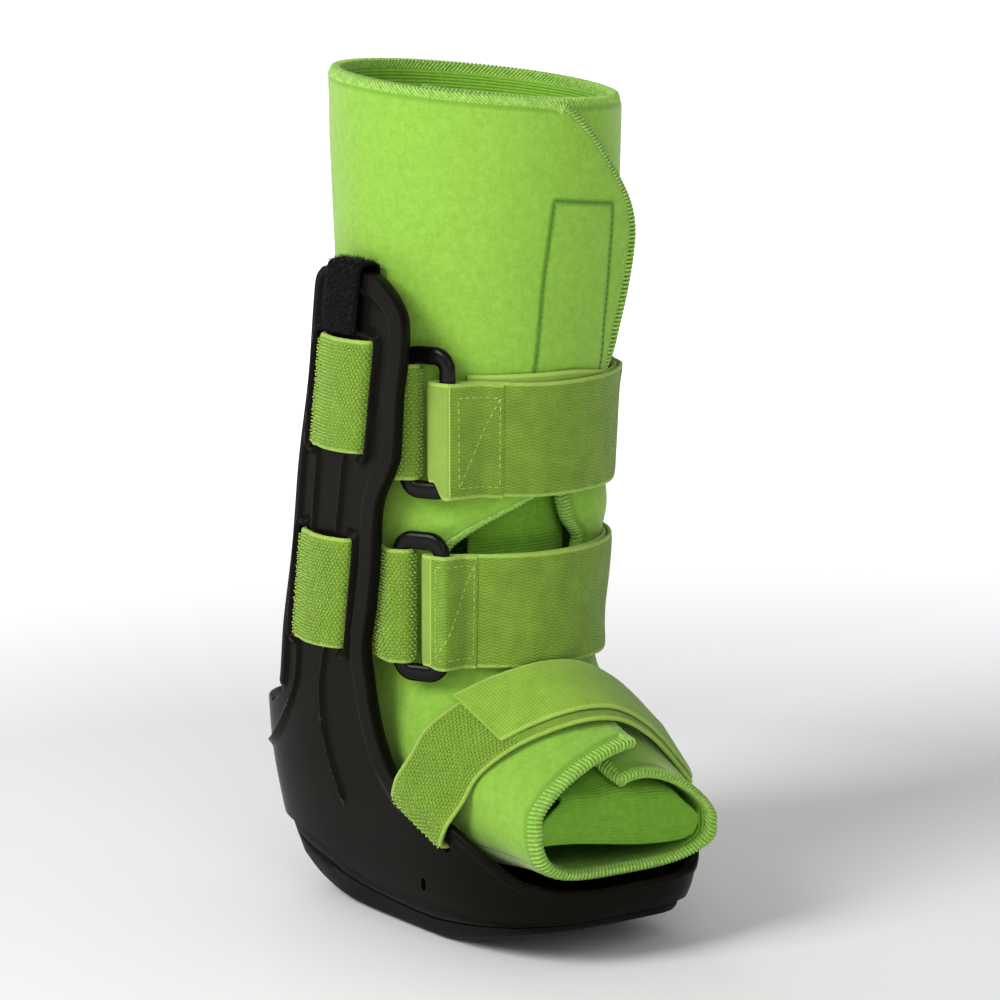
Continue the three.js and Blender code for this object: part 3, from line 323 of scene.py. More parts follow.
def piece(name, points, faces, finish, slot, uv=None, face_material=None, sharp=None, marks=()):
    """Mesh object from points in millimetres, with its finishes, riding on the part's one body.
    Marks are numbers kept at its points for the finish to read."""
    mesh = bpy.data.meshes.new(name)
    faces = faces.tolist() if isinstance(faces, np.ndarray) else faces
    mesh.from_pydata(place_in_frame(points).tolist(), [], faces)
    mesh.polygons.foreach_set("use_smooth", np.ones(len(mesh.polygons), bool))
    for key in finish.split():
        mesh.materials.append(FINISHES[key])
    if uv is not None:
        corners = np.zeros(len(mesh.loops), int)
        mesh.loops.foreach_get("vertex_index", corners)
        layer = mesh.uv_layers.new(name="cloth")
        layer.uv.foreach_set("vector", (np.asarray(uv).reshape(-1, 2)[corners] * MM).ravel())
    if face_material is not None:
        mesh.polygons.foreach_set("material_index", np.asarray(face_material, int))
    if sharp:
        mesh.set_sharp_from_angle(angle=np.radians(sharp))
    for mark, values in dict(marks).items():
        layer = mesh.attributes.new(mark, "FLOAT", "POINT")
        layer.data.foreach_set("value", np.asarray(values, np.float32).ravel())
    obj = bpy.data.objects.new(name, mesh)
    bpy.context.scene.collection.objects.link(obj)
    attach(obj, "root")
    return obj


def rim_indices(rows, columns):
    """Indices of a grid's rim, once round: first row, last column, last row back, first column back."""
    grid = np.arange(rows * columns).reshape(rows, columns)
    return np.concatenate([grid[0, :-1], grid[:-1, -1], grid[-1, :0:-1], grid[:0:-1, 0]])


def inner_neighbours(rows, columns):
    """For each point of the rim, the grid point next to it on the inside."""
    grid = np.arange(rows * columns).reshape(rows, columns)
    grid = np.pad(grid[1:-1, 1:-1], 1, mode="edge")
    return grid.ravel()[rim_indices(rows, columns)]


def padded_wall(outer, inner, swell):
    """Closed wall between two grids. Its edge is half an ellipse from the outer rim to the inner one,
    which stands out by swell. Returns points, faces, the grid point each came from, and the rim's
    middles, half thicknesses and outward ways."""
    steps = 4
    rows, columns = outer.shape[:2]
    flat_outer, flat_inner = outer.reshape(-1, 3), inner.reshape(-1, 3)
    rim, inside = rim_indices(rows, columns), inner_neighbours(rows, columns)
    middle = (flat_outer + flat_inner) / 2
    half = (flat_outer[rim] - flat_inner[rim]) / 2
    away = middle[rim] - middle[inside]
    away -= half * (np.sum(away * half, axis=1) / np.sum(half * half, axis=1))[:, None]
    away = unit(away)
    turn = (np.pi * np.arange(1, steps) / steps)[:, None, None]
    edge = middle[rim] + half * np.cos(turn) + away * swell * np.sin(turn)
    count = rows * columns
    between = 2 * count + np.arange((steps - 1) * len(rim)).reshape(steps - 1, -1)
    strips = np.concatenate([[rim], between, [rim + count]])
    after = np.roll(strips, -1, axis=1)
    side = np.stack([after[:-1], strips[:-1], strips[1:], after[1:]], axis=-1).reshape(-1, 4)
    back = grid_faces(rows, columns, flip=True, start=count)
    faces = np.concatenate([grid_faces(rows, columns), back, side])
    points = np.concatenate([flat_outer, flat_inner, edge.reshape(-1, 3)])
    origin = np.concatenate([np.arange(count), np.arange(count), np.tile(rim, steps - 1)])
    return points, faces, origin, (middle[rim], half, away)


def round_section(side, up, sides):
    """Ways out from a path all round it, starting at side and turning towards up."""
    turn = 2 * np.pi * np.arange(sides) / sides
    return side[:, None] * np.cos(turn)[:, None] + up[:, None] * np.sin(turn)[:, None]


def thread(path, radius, sides, normal):
    """Round tube of constant radius along a path, its section turned by the given normals."""
    along = unit(np.gradient(path, axis=0))
    side = unit(np.cross(along, normal))
    ring = round_section(side, np.cross(side, along), sides)
    points = np.concatenate([(path[:, None] + radius * ring).reshape(-1, 3), path[:1], path[-1:]])
    faces = grid_faces(len(path), sides, wrap=True).tolist()
    a = np.arange(sides)
    b, last = (a + 1) % sides, (len(path) - 1) * sides
    for one, other, centre in ((b, a, len(points) - 2), (a + last, b + last, len(points) - 1)):
        faces += np.stack([one, other, np.full(sides, centre)], axis=1).tolist()
    return points, faces


def stitches(starts, ends, normals, radius, lift, rings=5):
    """Short threads, each a spindle from start to end that arches up by lift in its middle."""
    sides = 5
    share = np.linspace(0, 1, rings)
    swell = np.sqrt(np.clip(1 - (2 * share - 1) ** 4, 0, 1)) * 0.92 + 0.08
    path = starts[:, None] + (ends - starts)[:, None] * share[:, None]
    path = path + normals[:, None] * (lift * np.sin(np.pi * share))[:, None]
    ring = round_section(unit(np.cross(unit(ends - starts), normals)), normals, sides)
    points = path[:, :, None] + ring[:, None] * (radius * swell)[:, None, None]
    start = (np.arange(len(starts)) * rings * sides)[:, None, None]
    quads = (grid_faces(rings, sides, wrap=True) + start).reshape(-1, 4)
    caps = np.array([np.arange(sides)[::-1], np.arange(sides) + (rings - 1) * sides])
    return points.reshape(-1, 3), quads.tolist() + (caps + start).reshape(-1, sides).tolist()


def bristles(roots, ways, length, radius):
    """Short stiff hairs: each a three-sided spike from its root along its way."""
    ways = unit(ways)
    side = unit(np.cross(ways, np.array([0.31, 0.52, 0.79])))
    foot = roots[:, None] + radius * round_section(side, np.cross(side, ways), 3)
    tip = roots + ways * length[:, None]
    points = np.concatenate([foot, tip[:, None]], axis=1).reshape(-1, 3)
    one = np.array([[0, 1, 3], [1, 2, 3], [2, 0, 3], [2, 1, 0]])
    return points, (one + (np.arange(len(roots)) * 4)[:, None, None]).reshape(-1, 3)


# Liner

LINER_KEYS = np.linspace(0, 1, len(LINER_SECTIONS))


def liner_section(place):
    """Section of the liner at a place from 0 at the toe to 1 at the top of the leg. The places may be
    a column, to be met by a row of angles."""
    value = {name: curve(LINER_KEYS, LINER_SECTIONS[:, k], place) for k, name in enumerate(LINER_COLUMNS)}
    back_y = value["backY"] * LEG_HALF_WIDTH
    spring = TOE_SPRING * smooth(-back_y, 0.5 * LEG_HALF_WIDTH, 1.75 * LEG_HALF_WIDTH)
    front_y, front_z = value["frontY"] * LEG_HALF_WIDTH, value["frontZ"] * RIM_HEIGHT
    zero = np.zeros_like(back_y)
    return {
        "front": np.stack([zero, front_y, front_z], axis=-1),
        "back": np.stack([zero, back_y, value["backZ"] * RIM_HEIGHT + spring], axis=-1),
        "half_width": value["width"] * LEG_HALF_WIDTH,
        **{name: value[name] for name in ("crown", "base", "over", "under")},
        "lap": value["lap"] * (LINER_WALL + LAP_GAP),
        "leg": smooth(place, 0.3, 0.5),
        "rim": smooth(place, 0.8, 1),
        "wrap": smooth(place, 0.6, 0.7),
        "loose": smooth(place, 0.7, 0.86),
        "toe": 1 - smooth(place, 0, 0.12),
        "fall": 1 - smooth(place, 0.06, 0.24),
    }


def liner_point(section, angle, depth):
    """Point of a section at an angle from its front towards the boot's left, at a depth below it: a
    superellipse whose front half has the power crown and whose sole half has the power base."""
    a = np.radians(angle)
    along = section["back"] - section["front"]
    half = np.linalg.norm(along, axis=-1) / 2
    along = unit(along)
    power = 2 / np.where(np.cos(a) > 0, section["crown"], section["base"])
    place = -signed_power(np.cos(a), power) * (half - depth)
    point = section["front"] + along * (half + place)[..., None]
    x = signed_power(np.sin(a), power) * (section["half_width"] - depth)
    z = point[..., 2] - section["rim"] * RIM_SLOPE_LEFT * x / LEG_HALF_WIDTH
    corner = np.maximum(0, x / section["half_width"]) ** 1.6
    x = x * (1 + 0.07 * section["toe"] * corner)
    z = z - TOE_CORNER_DROP * section["fall"] * corner * smooth(z, 1.2 * FLOOR_HEIGHT, 2.1 * FLOOR_HEIGHT)
    return np.stack([x, point[..., 1] + 0 * x, z], axis=-1)


def lap_depth(section, angle):
    """Depth of the outer face: the lap's depth at the under flap's edge, running out round the leg."""
    start = mix(mix(mix(20, 60, section["wrap"]), -60, section["loose"]), -8, section["fall"])
    end = mix(mix(mix(60, 105, section["wrap"]), 62, section["loose"]), 80, section["fall"])

    def under(turn):
        return section["lap"] * (1 - smooth(turn, start, end))

    return np.where(angle < 180, under(angle), under(angle - 360) - section["lap"])


def leg_radius(angle, z):
    """Distance from the leg's axis to the liner at an angle and height, found by halving the place."""
    angle, z = np.broadcast_arrays(np.asarray(angle, float), np.asarray(z, float))
    turn = angle.copy()
    for _ in range(4):
        low, high = np.full(turn.shape, 0.16), np.full(turn.shape, 1.0)
        for _ in range(20):
            middle = (low + high) / 2
            section = liner_section(middle)
            depth = np.minimum(0, lap_depth(section, np.minimum(turn, section["over"]) + 360))
            point = liner_point(section, turn, depth)
            below = point[..., 2] < z
            low, high = np.where(below, middle, low), np.where(below, high, middle)
        turn = turn + angle - angle_round(point)
    return np.hypot(point[..., 0], point[..., 1])


def liner_grids(rows, columns):
    """Outer and inner face of the liner: sections from toe to rim, each from the under flap's edge
    round the sole or calf to the over flap's edge. The faces draw together near every edge. The outer
    one swells between the straps, waves slowly, and lifts towards the over flap's edge and at the toe.
    Also gives places on the cloth, distances from the edge, and distances from the nearest seam."""
    place = np.linspace(0, 1, rows)[:, None]
    share = np.linspace(0, 1, columns)[None]
    section = liner_section(place)
    height = section["front"][..., 2]
    section["over"] = np.where(height > FLAP_EDGE_START, curve(*FLAP_EDGE, height), section["over"])
    angle = mix(section["under"], 360 + section["over"], share)
    turn = np.mod(angle, 360)
    thin = (1 - section["leg"]) * (1 - smooth(np.abs(turn - 180), 20, 70))
    lap = lap_depth(section, angle)
    plain = liner_point(section, angle, lap)
    down = length_along(plain, 0)[:, None]
    steps = np.linalg.norm(np.diff(plain, axis=1), axis=-1)
    across = np.concatenate([np.zeros((rows, 1)), np.cumsum(steps, axis=1)], axis=1)
    edge = np.minimum(np.minimum(down, down[-1] - down), np.minimum(across, across[:, -1:] - across))
    pinch = 1.25 * (1 - smooth(edge, 0, 4.5))
    soft = 0.5 * wander(plain, 60, 4) + 0.22 * wander(plain, 22, 9)
    leg = section["leg"] * smooth(edge, 2, 14)
    swell = np.zeros_like(soft)
    for strap in STRAPS.values():
        near = np.abs(plain[..., 2] - strap["middle"]) - STRAP_HEIGHT / 2
        swell += smooth(near, 0, 9) * (1 - smooth(near, 14, 40))
    swell = 0.9 * swell * smooth(np.minimum(turn, 360 - turn), 178, 120)
    lift = np.clip(1 - (360 + section["over"] - angle) / 24, 0, 1) ** 2
    lift = FLAP_LIFT * lift * smooth(plain[..., 2], 178, 196) * (1 - smooth(plain[..., 2], 230, 260))
    lift = lift + TOE_BULGE * smooth(place, 0.05, 0.09) * (1 - smooth(place, 0.15, 0.21)) * (
        smooth(turn, 20, 42)) * (1 - smooth(turn, 62, 95))
    outer = liner_point(section, angle, lap + pinch - leg * (swell + 0.4 * soft) - lift)
    wall = LINER_WALL - thin * (LINER_WALL - SOLE_WALL)
    inner = liner_point(section, angle, lap + wall - pinch * (1 - 0.3 * thin) - lift)
    seam = np.where(place < 0.3, (np.abs(turn - 180) - TOE_SEAM_TURN) * 0.9, patch_distance(outer))
    return outer, inner, np.stack([across, down + 0 * across], axis=-1), edge, seam


def overlock(middle, half, away):
    """Thread wound round an edge: an ellipse from the edge in over both faces, its turns slanting."""
    pitch, spread, steps = 1.4, 9, 12
    keys = run_length(np.concatenate([middle, middle[:1]]))
    count = np.arange(int(keys[-1] / pitch) * steps)
    phase = 2 * np.pi * count / steps
    slant = 0.55 * pitch * np.cos(phase)
    at = np.mod(count / steps * pitch + slant, keys[-1])
    kernel = np.hanning(2 * spread + 1)
    kernel = kernel / kernel.sum()

    def exact(values):
        return along_line(at, keys, np.concatenate([values, values[:1]]))

    def follow(values):
        ring = np.concatenate([values[-spread:], values, values[:spread]])
        return exact(np.stack([np.convolve(ring[:, k], kernel, "valid") for k in range(3)], axis=1))

    centre, out = exact(middle), unit(follow(away))
    thick = np.linalg.norm(exact(half), axis=1)
    normal = unit(follow(unit(half)))
    inward = (1 - np.cos(phase)) / 2
    reach = OVERLOCK_STAND - (OVERLOCK_REACH + OVERLOCK_STAND) * inward
    height = (thick + 0.15 + 0.7 * smooth(inward, 0, 1)) * signed_power(np.sin(phase), 0.42)
    path = centre + out * reach[:, None] + normal * height[:, None]
    return thread(path, 0.5, 5, unit(path - centre + out * OVERLOCK_REACH / 2))


def patch_distance(outer):
    """Distance of the liner's points from the outline of the patch sewn behind the over flap, measured
    round the leg and up it, less than nought inside."""
    line = PATCH * (PATCH_ROUND, 1)
    arc, z = angle_round(outer) * PATCH_ROUND, outer[..., 2]
    near = distance_to(line, arc, z)
    a, b = line[:-1], line[1:]
    side = [(q[0] - p[0]) * (z - p[1]) - (q[1] - p[1]) * (arc - p[0]) for p, q in zip(a, b)]
    return np.where(np.max(side, axis=0) < 0, -near, near)


def on_liner(outer, angle, z):
    """Points on the over flap's outer face at angles and heights, and the ways outwards there."""
    rows, columns = outer.shape[:2]
    low_row, low_column = 3 * rows // 5, 2 * columns // 3
    flap = outer[low_row:, low_column:]
    turn, normal, every = angle_round(flap), grid_normals(flap), np.arange(len(flap))
    points, ways = [], []
    for a, height in zip(angle, z):
        column = np.array([np.interp(a, row, np.arange(len(row))) for row in turn])
        i = np.minimum(column.astype(int), flap.shape[1] - 2)
        line = mix(flap[every, i], flap[every, i + 1], (column - i)[:, None])
        j = np.interp(height, line[:, 2], every)
        points.append(along_line(j, every, line))
        ways.append(normal[int(j), i[int(j)]])
    return np.array(points), np.array(ways)


def make_liner():
    """Padded liner with its wound edge and the stitches round its patch."""
    outer, inner, uv, edge, seam = liner_grids(rows=200, columns=168)
    points, faces, origin, rim = padded_wall(outer, inner, 0.5)
    one_face = len(grid_faces(*outer.shape[:2]))
    where = np.zeros(len(faces))
    where[one_face:2 * one_face] = 1
    # Distances from the edge and from the seams, by which the pile's finish paints shade
    marks = {"edge": edge.ravel()[origin], "seam": np.clip(seam, -9, 9).ravel()[origin]}
    obj = piece("liner_pad", points, faces, "pile knit", "liner_fabric", uv.reshape(-1, 2)[origin], where,
                marks=marks)
    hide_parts("liner")
    piece("liner_overlock", *overlock(*rim), "thread", "liner_fabric")
    keys = run_length(PATCH * (PATCH_ROUND, 1))
    at = np.arange(0, keys[-1] - 1.2, PATCH_PITCH)
    (starts, out), (ends, end_out) = [on_liner(outer, *along_line(t, keys, PATCH).T)
                                      for t in (at, at + PATCH_STITCH)]
    seam_threads = stitches(starts, ends, unit(out + end_out), 0.3, 0.12)
    piece("liner_patch_stitches", *seam_threads, "deep_thread", "liner_fabric")


# Tongue

def tongue_grid(rows, columns):
    """Middle of the tongue: rows under the flaps from the ankle to the toe, then the curtain."""
    share = np.linspace(0, 1, 13)[:, None]
    section = liner_section(mix(TONGUE_TOP, TONGUE_TOE, share))
    across = np.linspace(-1, 1, columns)
    angle = mix(TONGUE_ANGLE, TONGUE_TOE_ANGLE, smooth(share, 0.45, 1)) * across[None]
    lap = section["lap"] * (1 - smooth(np.abs(angle), 30, 80))
    body = liner_point(section, angle, lap + LINER_WALL + TONGUE_WALL / 2 + 5 * CLEARANCE)
    last = body[-1]
    width = liner_section(np.array(TONGUE_TOE))["half_width"]
    hang = []
    for share_width, drop, ahead in CURTAIN:
        x = mix(last[:, 0], across * share_width * width, min(1, drop * 1.6))
        x = x * (1 + 0.1 * smooth(-x, 12, 30))
        low = mix(CURTAIN_HEM_RIGHT, CURTAIN_HEM_LEFT, smooth(x, -34, 22)) + 3.2 * smooth(x, 24, 36)
        hang.append(np.stack([x, last[:, 1] - ahead, mix(last[:, 2], low, drop)], axis=-1))
    return resampled(np.concatenate([body, hang]), rows)[0]


def grid_normals(grid):
    """Ways out of a grid: the cross product of its slopes along columns and rows."""
    return unit(np.cross(np.gradient(grid, axis=1), np.gradient(grid, axis=0)))


def make_tongue():
    """Padded tongue, a little wavy where it hangs as a curtain."""
    middle = tongue_grid(rows=110, columns=61)
    hanging = smooth(np.arange(len(middle)), 60, 100)[:, None]
    middle[..., 1] += 0.35 * wander(middle, 26, 3) * hanging
    offset = grid_normals(middle) * (TONGUE_WALL - 0.2) / 2
    points, faces, origin, _ = padded_wall(middle + offset, middle - offset, 0.9)
    uv = np.stack(np.meshgrid(length_along(middle, 1), length_along(middle, 0)), axis=-1).reshape(-1, 2)
    obj = piece("tongue_pad", points, faces, "curtain", "liner_fabric", uv[origin])
    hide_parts("tongue")


# Shell

def shell_value(z, column):
    """Share of the shell's plan sizes at a height, from the table of sections."""
    return curve(SHELL_SECTIONS["height"], SHELL_SECTIONS[column], z / STRUT_HEIGHT)


def shell_half_width(z):
    """Half width of the shell's plan at a height."""
    return shell_value(z, "width") * SHELL_HALF_WIDTH


def shell_reach(z, ahead):
    """Reach of the shell's plan at a height: to the toe where ahead is true, else to the heel."""
    return np.where(ahead, shell_value(z, "toe") * TOE_REACH, shell_value(z, "heel") * HEEL_REACH)


def side_point(side, theta, z, inset):
    """Point on the shell's plan: a superellipse at that height, moved in by an inset."""
    power = 2 / SQUARENESS
    y = signed_power(np.sin(theta), power) * (shell_reach(z, theta < 0) - inset)
    x = side * (shell_half_width(z) - inset) * np.abs(np.cos(theta)) ** power
    return np.stack([x, y, z + 0 * x], axis=-1)


def theta_at(y, z):
    """Angle in the shell's plan that side_point puts at y."""
    share = np.clip(np.abs(y) / shell_reach(z, y < 0), 0, 1)
    return np.sign(y) * np.arcsin(share ** (SQUARENESS / 2))


def across_at(y, z, depth):
    """Place across the boot of a point on the shell's side at a depth outside its outer face."""
    inset = np.clip(-depth, 0, SHELL_WALL)
    reach = shell_reach(z, y < 0) - inset
    share = (1 - np.abs(y / reach) ** SQUARENESS) ** (1 / SQUARENESS)
    return share * (shell_half_width(z) - inset) + depth + inset


def setback(side, z):
    """How far the left strut leans back at a height: a smooth step up from the rim."""
    z = np.asarray(z, float)
    return (side > 0) * LEFT_SETBACK * smooth(z, 0.1 * STRUT_HEIGHT, 0.54 * STRUT_HEIGHT)


def strut_edge(line, z, side):
    """Place along the boot of a strut's front or back edge at a height: the table's curve, set back."""
    heights, reaches = line
    inside = np.clip(np.asarray(z, float) / STRUT_HEIGHT, heights[0], heights[-1])
    return curve(heights, reaches, inside) * STRUT_WIDTH + setback(side, z)


def sole_edge(y):
    """Height of the shell's lower edge: a cubic curve along the boot."""
    return curve(np.array(SOLE_LINE[0]) * TOE_REACH, np.array(SOLE_LINE[1]) * SOLE_LOW, y)


def tread_at(y):
    """Height of the sole's tread, nought where it stands on the ground."""
    keys, heights = np.array(TREAD_LINE[0]) * TOE_REACH, np.array(TREAD_LINE[1]) * SOLE_LOW
    return np.maximum(0, curve(keys, heights, np.clip(y, keys[0], keys[-1])))


def floor_at(y):
    """Height of the shell's floor, which rises a little towards the heel."""
    return FLOOR_HEIGHT * mix(1, 1.21, np.clip((y / TOE_REACH + 0.25) / 0.65, 0, 1))


def strut_slot(side, name):
    """Middle and lean of a strut's pair of slots."""
    y, z = STRAPS[name]["slot"]
    slope = float(setback(side, z + 1) - setback(side, z - 1)) / 2
    return {"side": side, "y": y + float(setback(side, z)), "z": z,
            "lean": SLOT_LEAN - np.degrees(np.arctan(slope))}


def distance_to(line, y, z):
    """Shortest distance in the side view from points to a line of (y, z) corners."""
    line = np.asarray(line, float)
    best = np.full(np.shape(y), 1e9)
    for a, b in zip(line[:-1], line[1:]):
        d = b - a
        t = np.clip(((y - a[0]) * d[0] + (z - a[1]) * d[1]) / (d @ d), 0, 1)
        best = np.minimum(best, np.hypot(y - a[0] - t * d[0], z - a[1] - t * d[1]))
    return best


def relief_lines(side):
    """Raised borders, ribs and slot lips of one strut: line, half width and height."""
    def edge_line(edge, low, high, count):
        heights = np.linspace(low, high, count) * STRUT_HEIGHT
        return np.stack([strut_edge(edge, heights, side), heights], axis=1)

    front, back = edge_line(STRUT_FRONT, 0.24, 0.996, 60), edge_line(STRUT_BACK, 0.35, 0.994, 40)
    rim_y = np.linspace(-0.93, -0.40, 24) * TOE_REACH
    rim = np.stack([rim_y, curve(*SIDE_RIM, rim_y / TOE_REACH) * SIDE_RIM_HEIGHT], axis=1)
    lines = [(front, FRONT_BORDER, RELIEF), (back, BACK_BORDER, RELIEF),
             ([back[-1], front[-1]], BACK_BORDER, RELIEF), (rim, 2.6, 0.5)]
    for rib in RIBS:
        points = [(r * STRUT_WIDTH + setback(side, h * STRUT_HEIGHT), h * STRUT_HEIGHT) for r, h in rib]
        lines.append((resampled(points, 30)[0] if len(points) > 2 else points, 1.1, RELIEF))
    lift = SLOT_HEIGHT / 2
    lip = [(-3.6, -lift - 1.5), (-0.8, -lift - 1.2), (0.5, -lift), (1.0, -lift + 2.5)]
    lip += [(away, -up) for away, up in lip[::-1]]
    for name in STRAPS:
        slot = strut_slot(side, name)
        lean = np.tan(np.radians(slot["lean"]))
        for sign, half, shift in ((-1, FRONT_SLOT / 2, FRONT_SHIFT), (1, BACK_SLOT / 2, 0)):
            middle = slot["y"] + shift + sign * (SLOT_SPACING / 2 + half)
            lines.append(([(middle + sign * away - lean * up, slot["z"] + up) for away, up in lip],
                          1.2, RELIEF + 0.6))
    return lines


def relief_at(side, y, z):
    """Height of the highest raised line at places in the side view, each with a soft flank."""
    total = np.zeros(np.shape(y))
    for line, half, height in relief_lines(side):
        d = distance_to(line, y, z)
        total = np.maximum(total, height * (1 - smooth(d, half - 0.9, half + 0.5)))
    return total


def shell_side(side):
    """One side of the shell, each face as two grids. Below, columns run from the toe round to the heel
    and rows from the lower edge to the rim; the strut goes on above between its edges."""
    foot_front = float(strut_edge(STRUT_FRONT, STRUT_FOOT_FRONT, side))
    foot_back = float(strut_edge(STRUT_BACK, STRUT_FOOT_BACK, side))
    toe, stop = TOE_COLUMNS, TOE_COLUMNS + STRUT_COLUMNS
    u = np.linspace(0, 1, STRUT_COLUMNS)
    join_z = mix(STRUT_FOOT_FRONT, STRUT_FOOT_BACK, u)
    join_y = mix(strut_edge(STRUT_FRONT, join_z, side), strut_edge(STRUT_BACK, join_z, side), u)
    row = np.linspace(0, 1, LOW_ROWS)[:, None]
    rim_keys = np.append(np.array(SIDE_RIM[0]) * TOE_REACH, foot_front)
    rim_heights = np.append(np.array(SIDE_RIM[1]) * SIDE_RIM_HEIGHT, STRUT_FOOT_FRONT)
    toe_share = np.linspace(0, 1, TOE_COLUMNS, endpoint=False)[None]
    heel_share = np.linspace(1, 0, HEEL_COLUMNS, endpoint=False)[None, ::-1]
    strut_y = mix(mix(foot_front, foot_back, u), join_y, row ** 1.5)
    share = np.linspace(0, 1, HIGH_ROWS)[:, None] ** 0.93
    high_z = mix(join_z, 0.992 * STRUT_HEIGHT, share)
    high_y = mix(strut_edge(STRUT_FRONT, high_z, side), strut_edge(STRUT_BACK, high_z, side), u)

    def face(inset, bottom, raised):
        z = np.full((LOW_ROWS, stop + HEEL_COLUMNS), 30.0)
        for _ in range(5):
            theta_front = theta_at(np.full(LOW_ROWS, foot_front), z[:, toe])[:, None]
            theta_back = theta_at(np.full(LOW_ROWS, foot_back), z[:, stop - 1])[:, None]
            theta = np.concatenate([mix(-np.pi / 2, theta_front, toe_share),
                                    theta_at(strut_y, z[:, toe:stop]),
                                    mix(np.pi / 2, theta_back, 1 - heel_share)], axis=1)
            y = side_point(side, theta, z, 0)[..., 1]
            to_heel = (y[-1, stop:] - foot_back) / (y[-1, -1] - foot_back)
            top = np.concatenate([curve(rim_keys, rim_heights, y[-1, :toe]), join_z,
                                  mix(STRUT_FOOT_BACK, HEEL_CUP_HEIGHT, to_heel)])
            z = mix(bottom(y), top, row)
        lift, high_lift = 0 * y, 0
        if raised:
            lift, high_lift = relief_at(side, y, z), relief_at(side, high_y, high_z)
            lift[:, -1] = (relief_at(-1, y[:, -1], z[:, -1]) + relief_at(1, y[:, -1], z[:, -1])) / 2
        low = side_point(side, theta, z, inset - lift)
        high = side_point(side, theta_at(high_y, high_z), high_z, inset - high_lift)
        high[0] = low[-1, toe:stop]
        return low, high

    return face(0, sole_edge, True), face(SHELL_WALL, floor_at, False)


def shell_patches(walls, side):
    """Closed set of grids for one side: both faces, the rounded rim, the floor and the underside.
    On the middle line the floor and underside take the mean of both sides' rows, so they meet."""
    (low_out, high_out), (low_in, high_in) = walls[side]
    meet_out, meet_in = [(walls[-1][k][0][0, :, 1] + walls[1][k][0][0, :, 1]) / 2 for k in (0, 1)]

    def chain(low, high, step):
        """Points along the rim, or one step inside it."""
        j = -1 - step
        return np.concatenate([low[j, :TOE_COLUMNS], high[:-1, step], high[j, :-1], high[:0:-1, j],
                               high[:1, j], low[j, TOE_COLUMNS + STRUT_COLUMNS:]])

    outer, inner = chain(low_out, high_out, 0), chain(low_in, high_in, 0)
    inside = (chain(low_out, high_out, 1) + chain(low_in, high_in, 1)) / 2
    middle, half = (outer + inner) / 2, (outer - inner) / 2
    turn = np.linspace(0, np.pi, 6)[:, None, None]
    rim = middle + half * np.cos(turn) + unit(middle - inside) * np.sin(turn)
    rim[0], rim[-1] = outer, inner
    q = np.linspace(1, 0, 5)[:, None]

    def across(row, meet, height):
        y = mix(meet, row[None, :, 1], q)
        grid = np.stack([row[None, :, 0] * q, y, height(y)], axis=-1)
        grid[0] = row
        return grid

    under, floor = across(low_out[0], meet_out, sole_edge), across(low_in[0], meet_in, floor_at)
    flip = side > 0
    return [(low_out, not flip), (high_out, not flip), (low_in, flip), (high_in, flip), (rim, not flip),
            (under, flip), (floor, not flip)]


def merged(patches):
    """Points and faces of several grids, with points that coincide made one."""
    points, faces, start = [], [], 0
    for grid, flip in patches:
        faces.append(grid_faces(*grid.shape[:2], flip=flip, start=start))
        points.append(grid.reshape(-1, 3))
        start += len(points[-1])
    points, faces = np.concatenate(points), np.concatenate(faces)
    key = np.round(points / 0.002).astype(np.int64)
    _, first, back = np.unique(key, axis=0, return_index=True, return_inverse=True)
    faces = back.reshape(-1)[faces]
    kept = []
    for face in faces.tolist():
        corners = [c for k, c in enumerate(face) if c != face[k - 1]]
        if len(set(corners)) > 2:
            kept.append(corners)
    return points[first], kept


def slot_block(side, y, z, height, width, lean, corner):
    """Block with rounded corners that cuts a slot: a superellipse outline in the side view."""
    count, power, lean = 28, 2 / corner, np.radians(lean)
    turn = 2 * np.pi * np.arange(count) / count
    a = signed_power(np.cos(turn), power) * width / 2
    b = signed_power(np.sin(turn), power) * height / 2
    ys, zs = y + a * np.cos(lean) - b * np.sin(lean), z + a * np.sin(lean) + b * np.cos(lean)
    ends = [np.stack([np.full(count, side * SHELL_HALF_WIDTH * share), ys, zs], axis=1)
            for share in (0.55, 1.3)]
    faces = grid_faces(2, count, wrap=True).tolist()
    faces += [list(range(count))[::-1], list(range(count, 2 * count))]
    return np.concatenate(ends[::side]), faces


def cut(obj, blocks):
    """Takes blocks away from a mesh with one Boolean and applies it."""
    points, faces, start = [], [], 0
    for block_points, block_faces in blocks:
        points.append(block_points)
        faces += [[c + start for c in face] for face in block_faces]
        start += len(block_points)
    mesh, old = bpy.data.meshes.new("slot_blocks"), obj.data
    mesh.from_pydata(place_in_frame(np.concatenate(points)).tolist(), [], faces)
    tool = bpy.data.objects.new("slot_blocks", mesh)
    bpy.context.scene.collection.objects.link(tool)
    modifier = obj.modifiers.new("slots", "BOOLEAN")
    modifier.operation, modifier.solver, modifier.object = "DIFFERENCE", "MANIFOLD", tool
    bpy.context.view_layer.update()
    obj.data = bpy.data.meshes.new_from_object(obj.evaluated_get(bpy.context.evaluated_depsgraph_get()))
    obj.modifiers.clear()
    obj.data.name = obj.name
    bpy.data.objects.remove(tool)
    bpy.data.meshes.remove(mesh)
    bpy.data.meshes.remove(old)
    obj.data.polygons.foreach_set("use_smooth", np.ones(len(obj.data.polygons), bool))
    obj.data.set_sharp_from_angle(angle=np.radians(38))


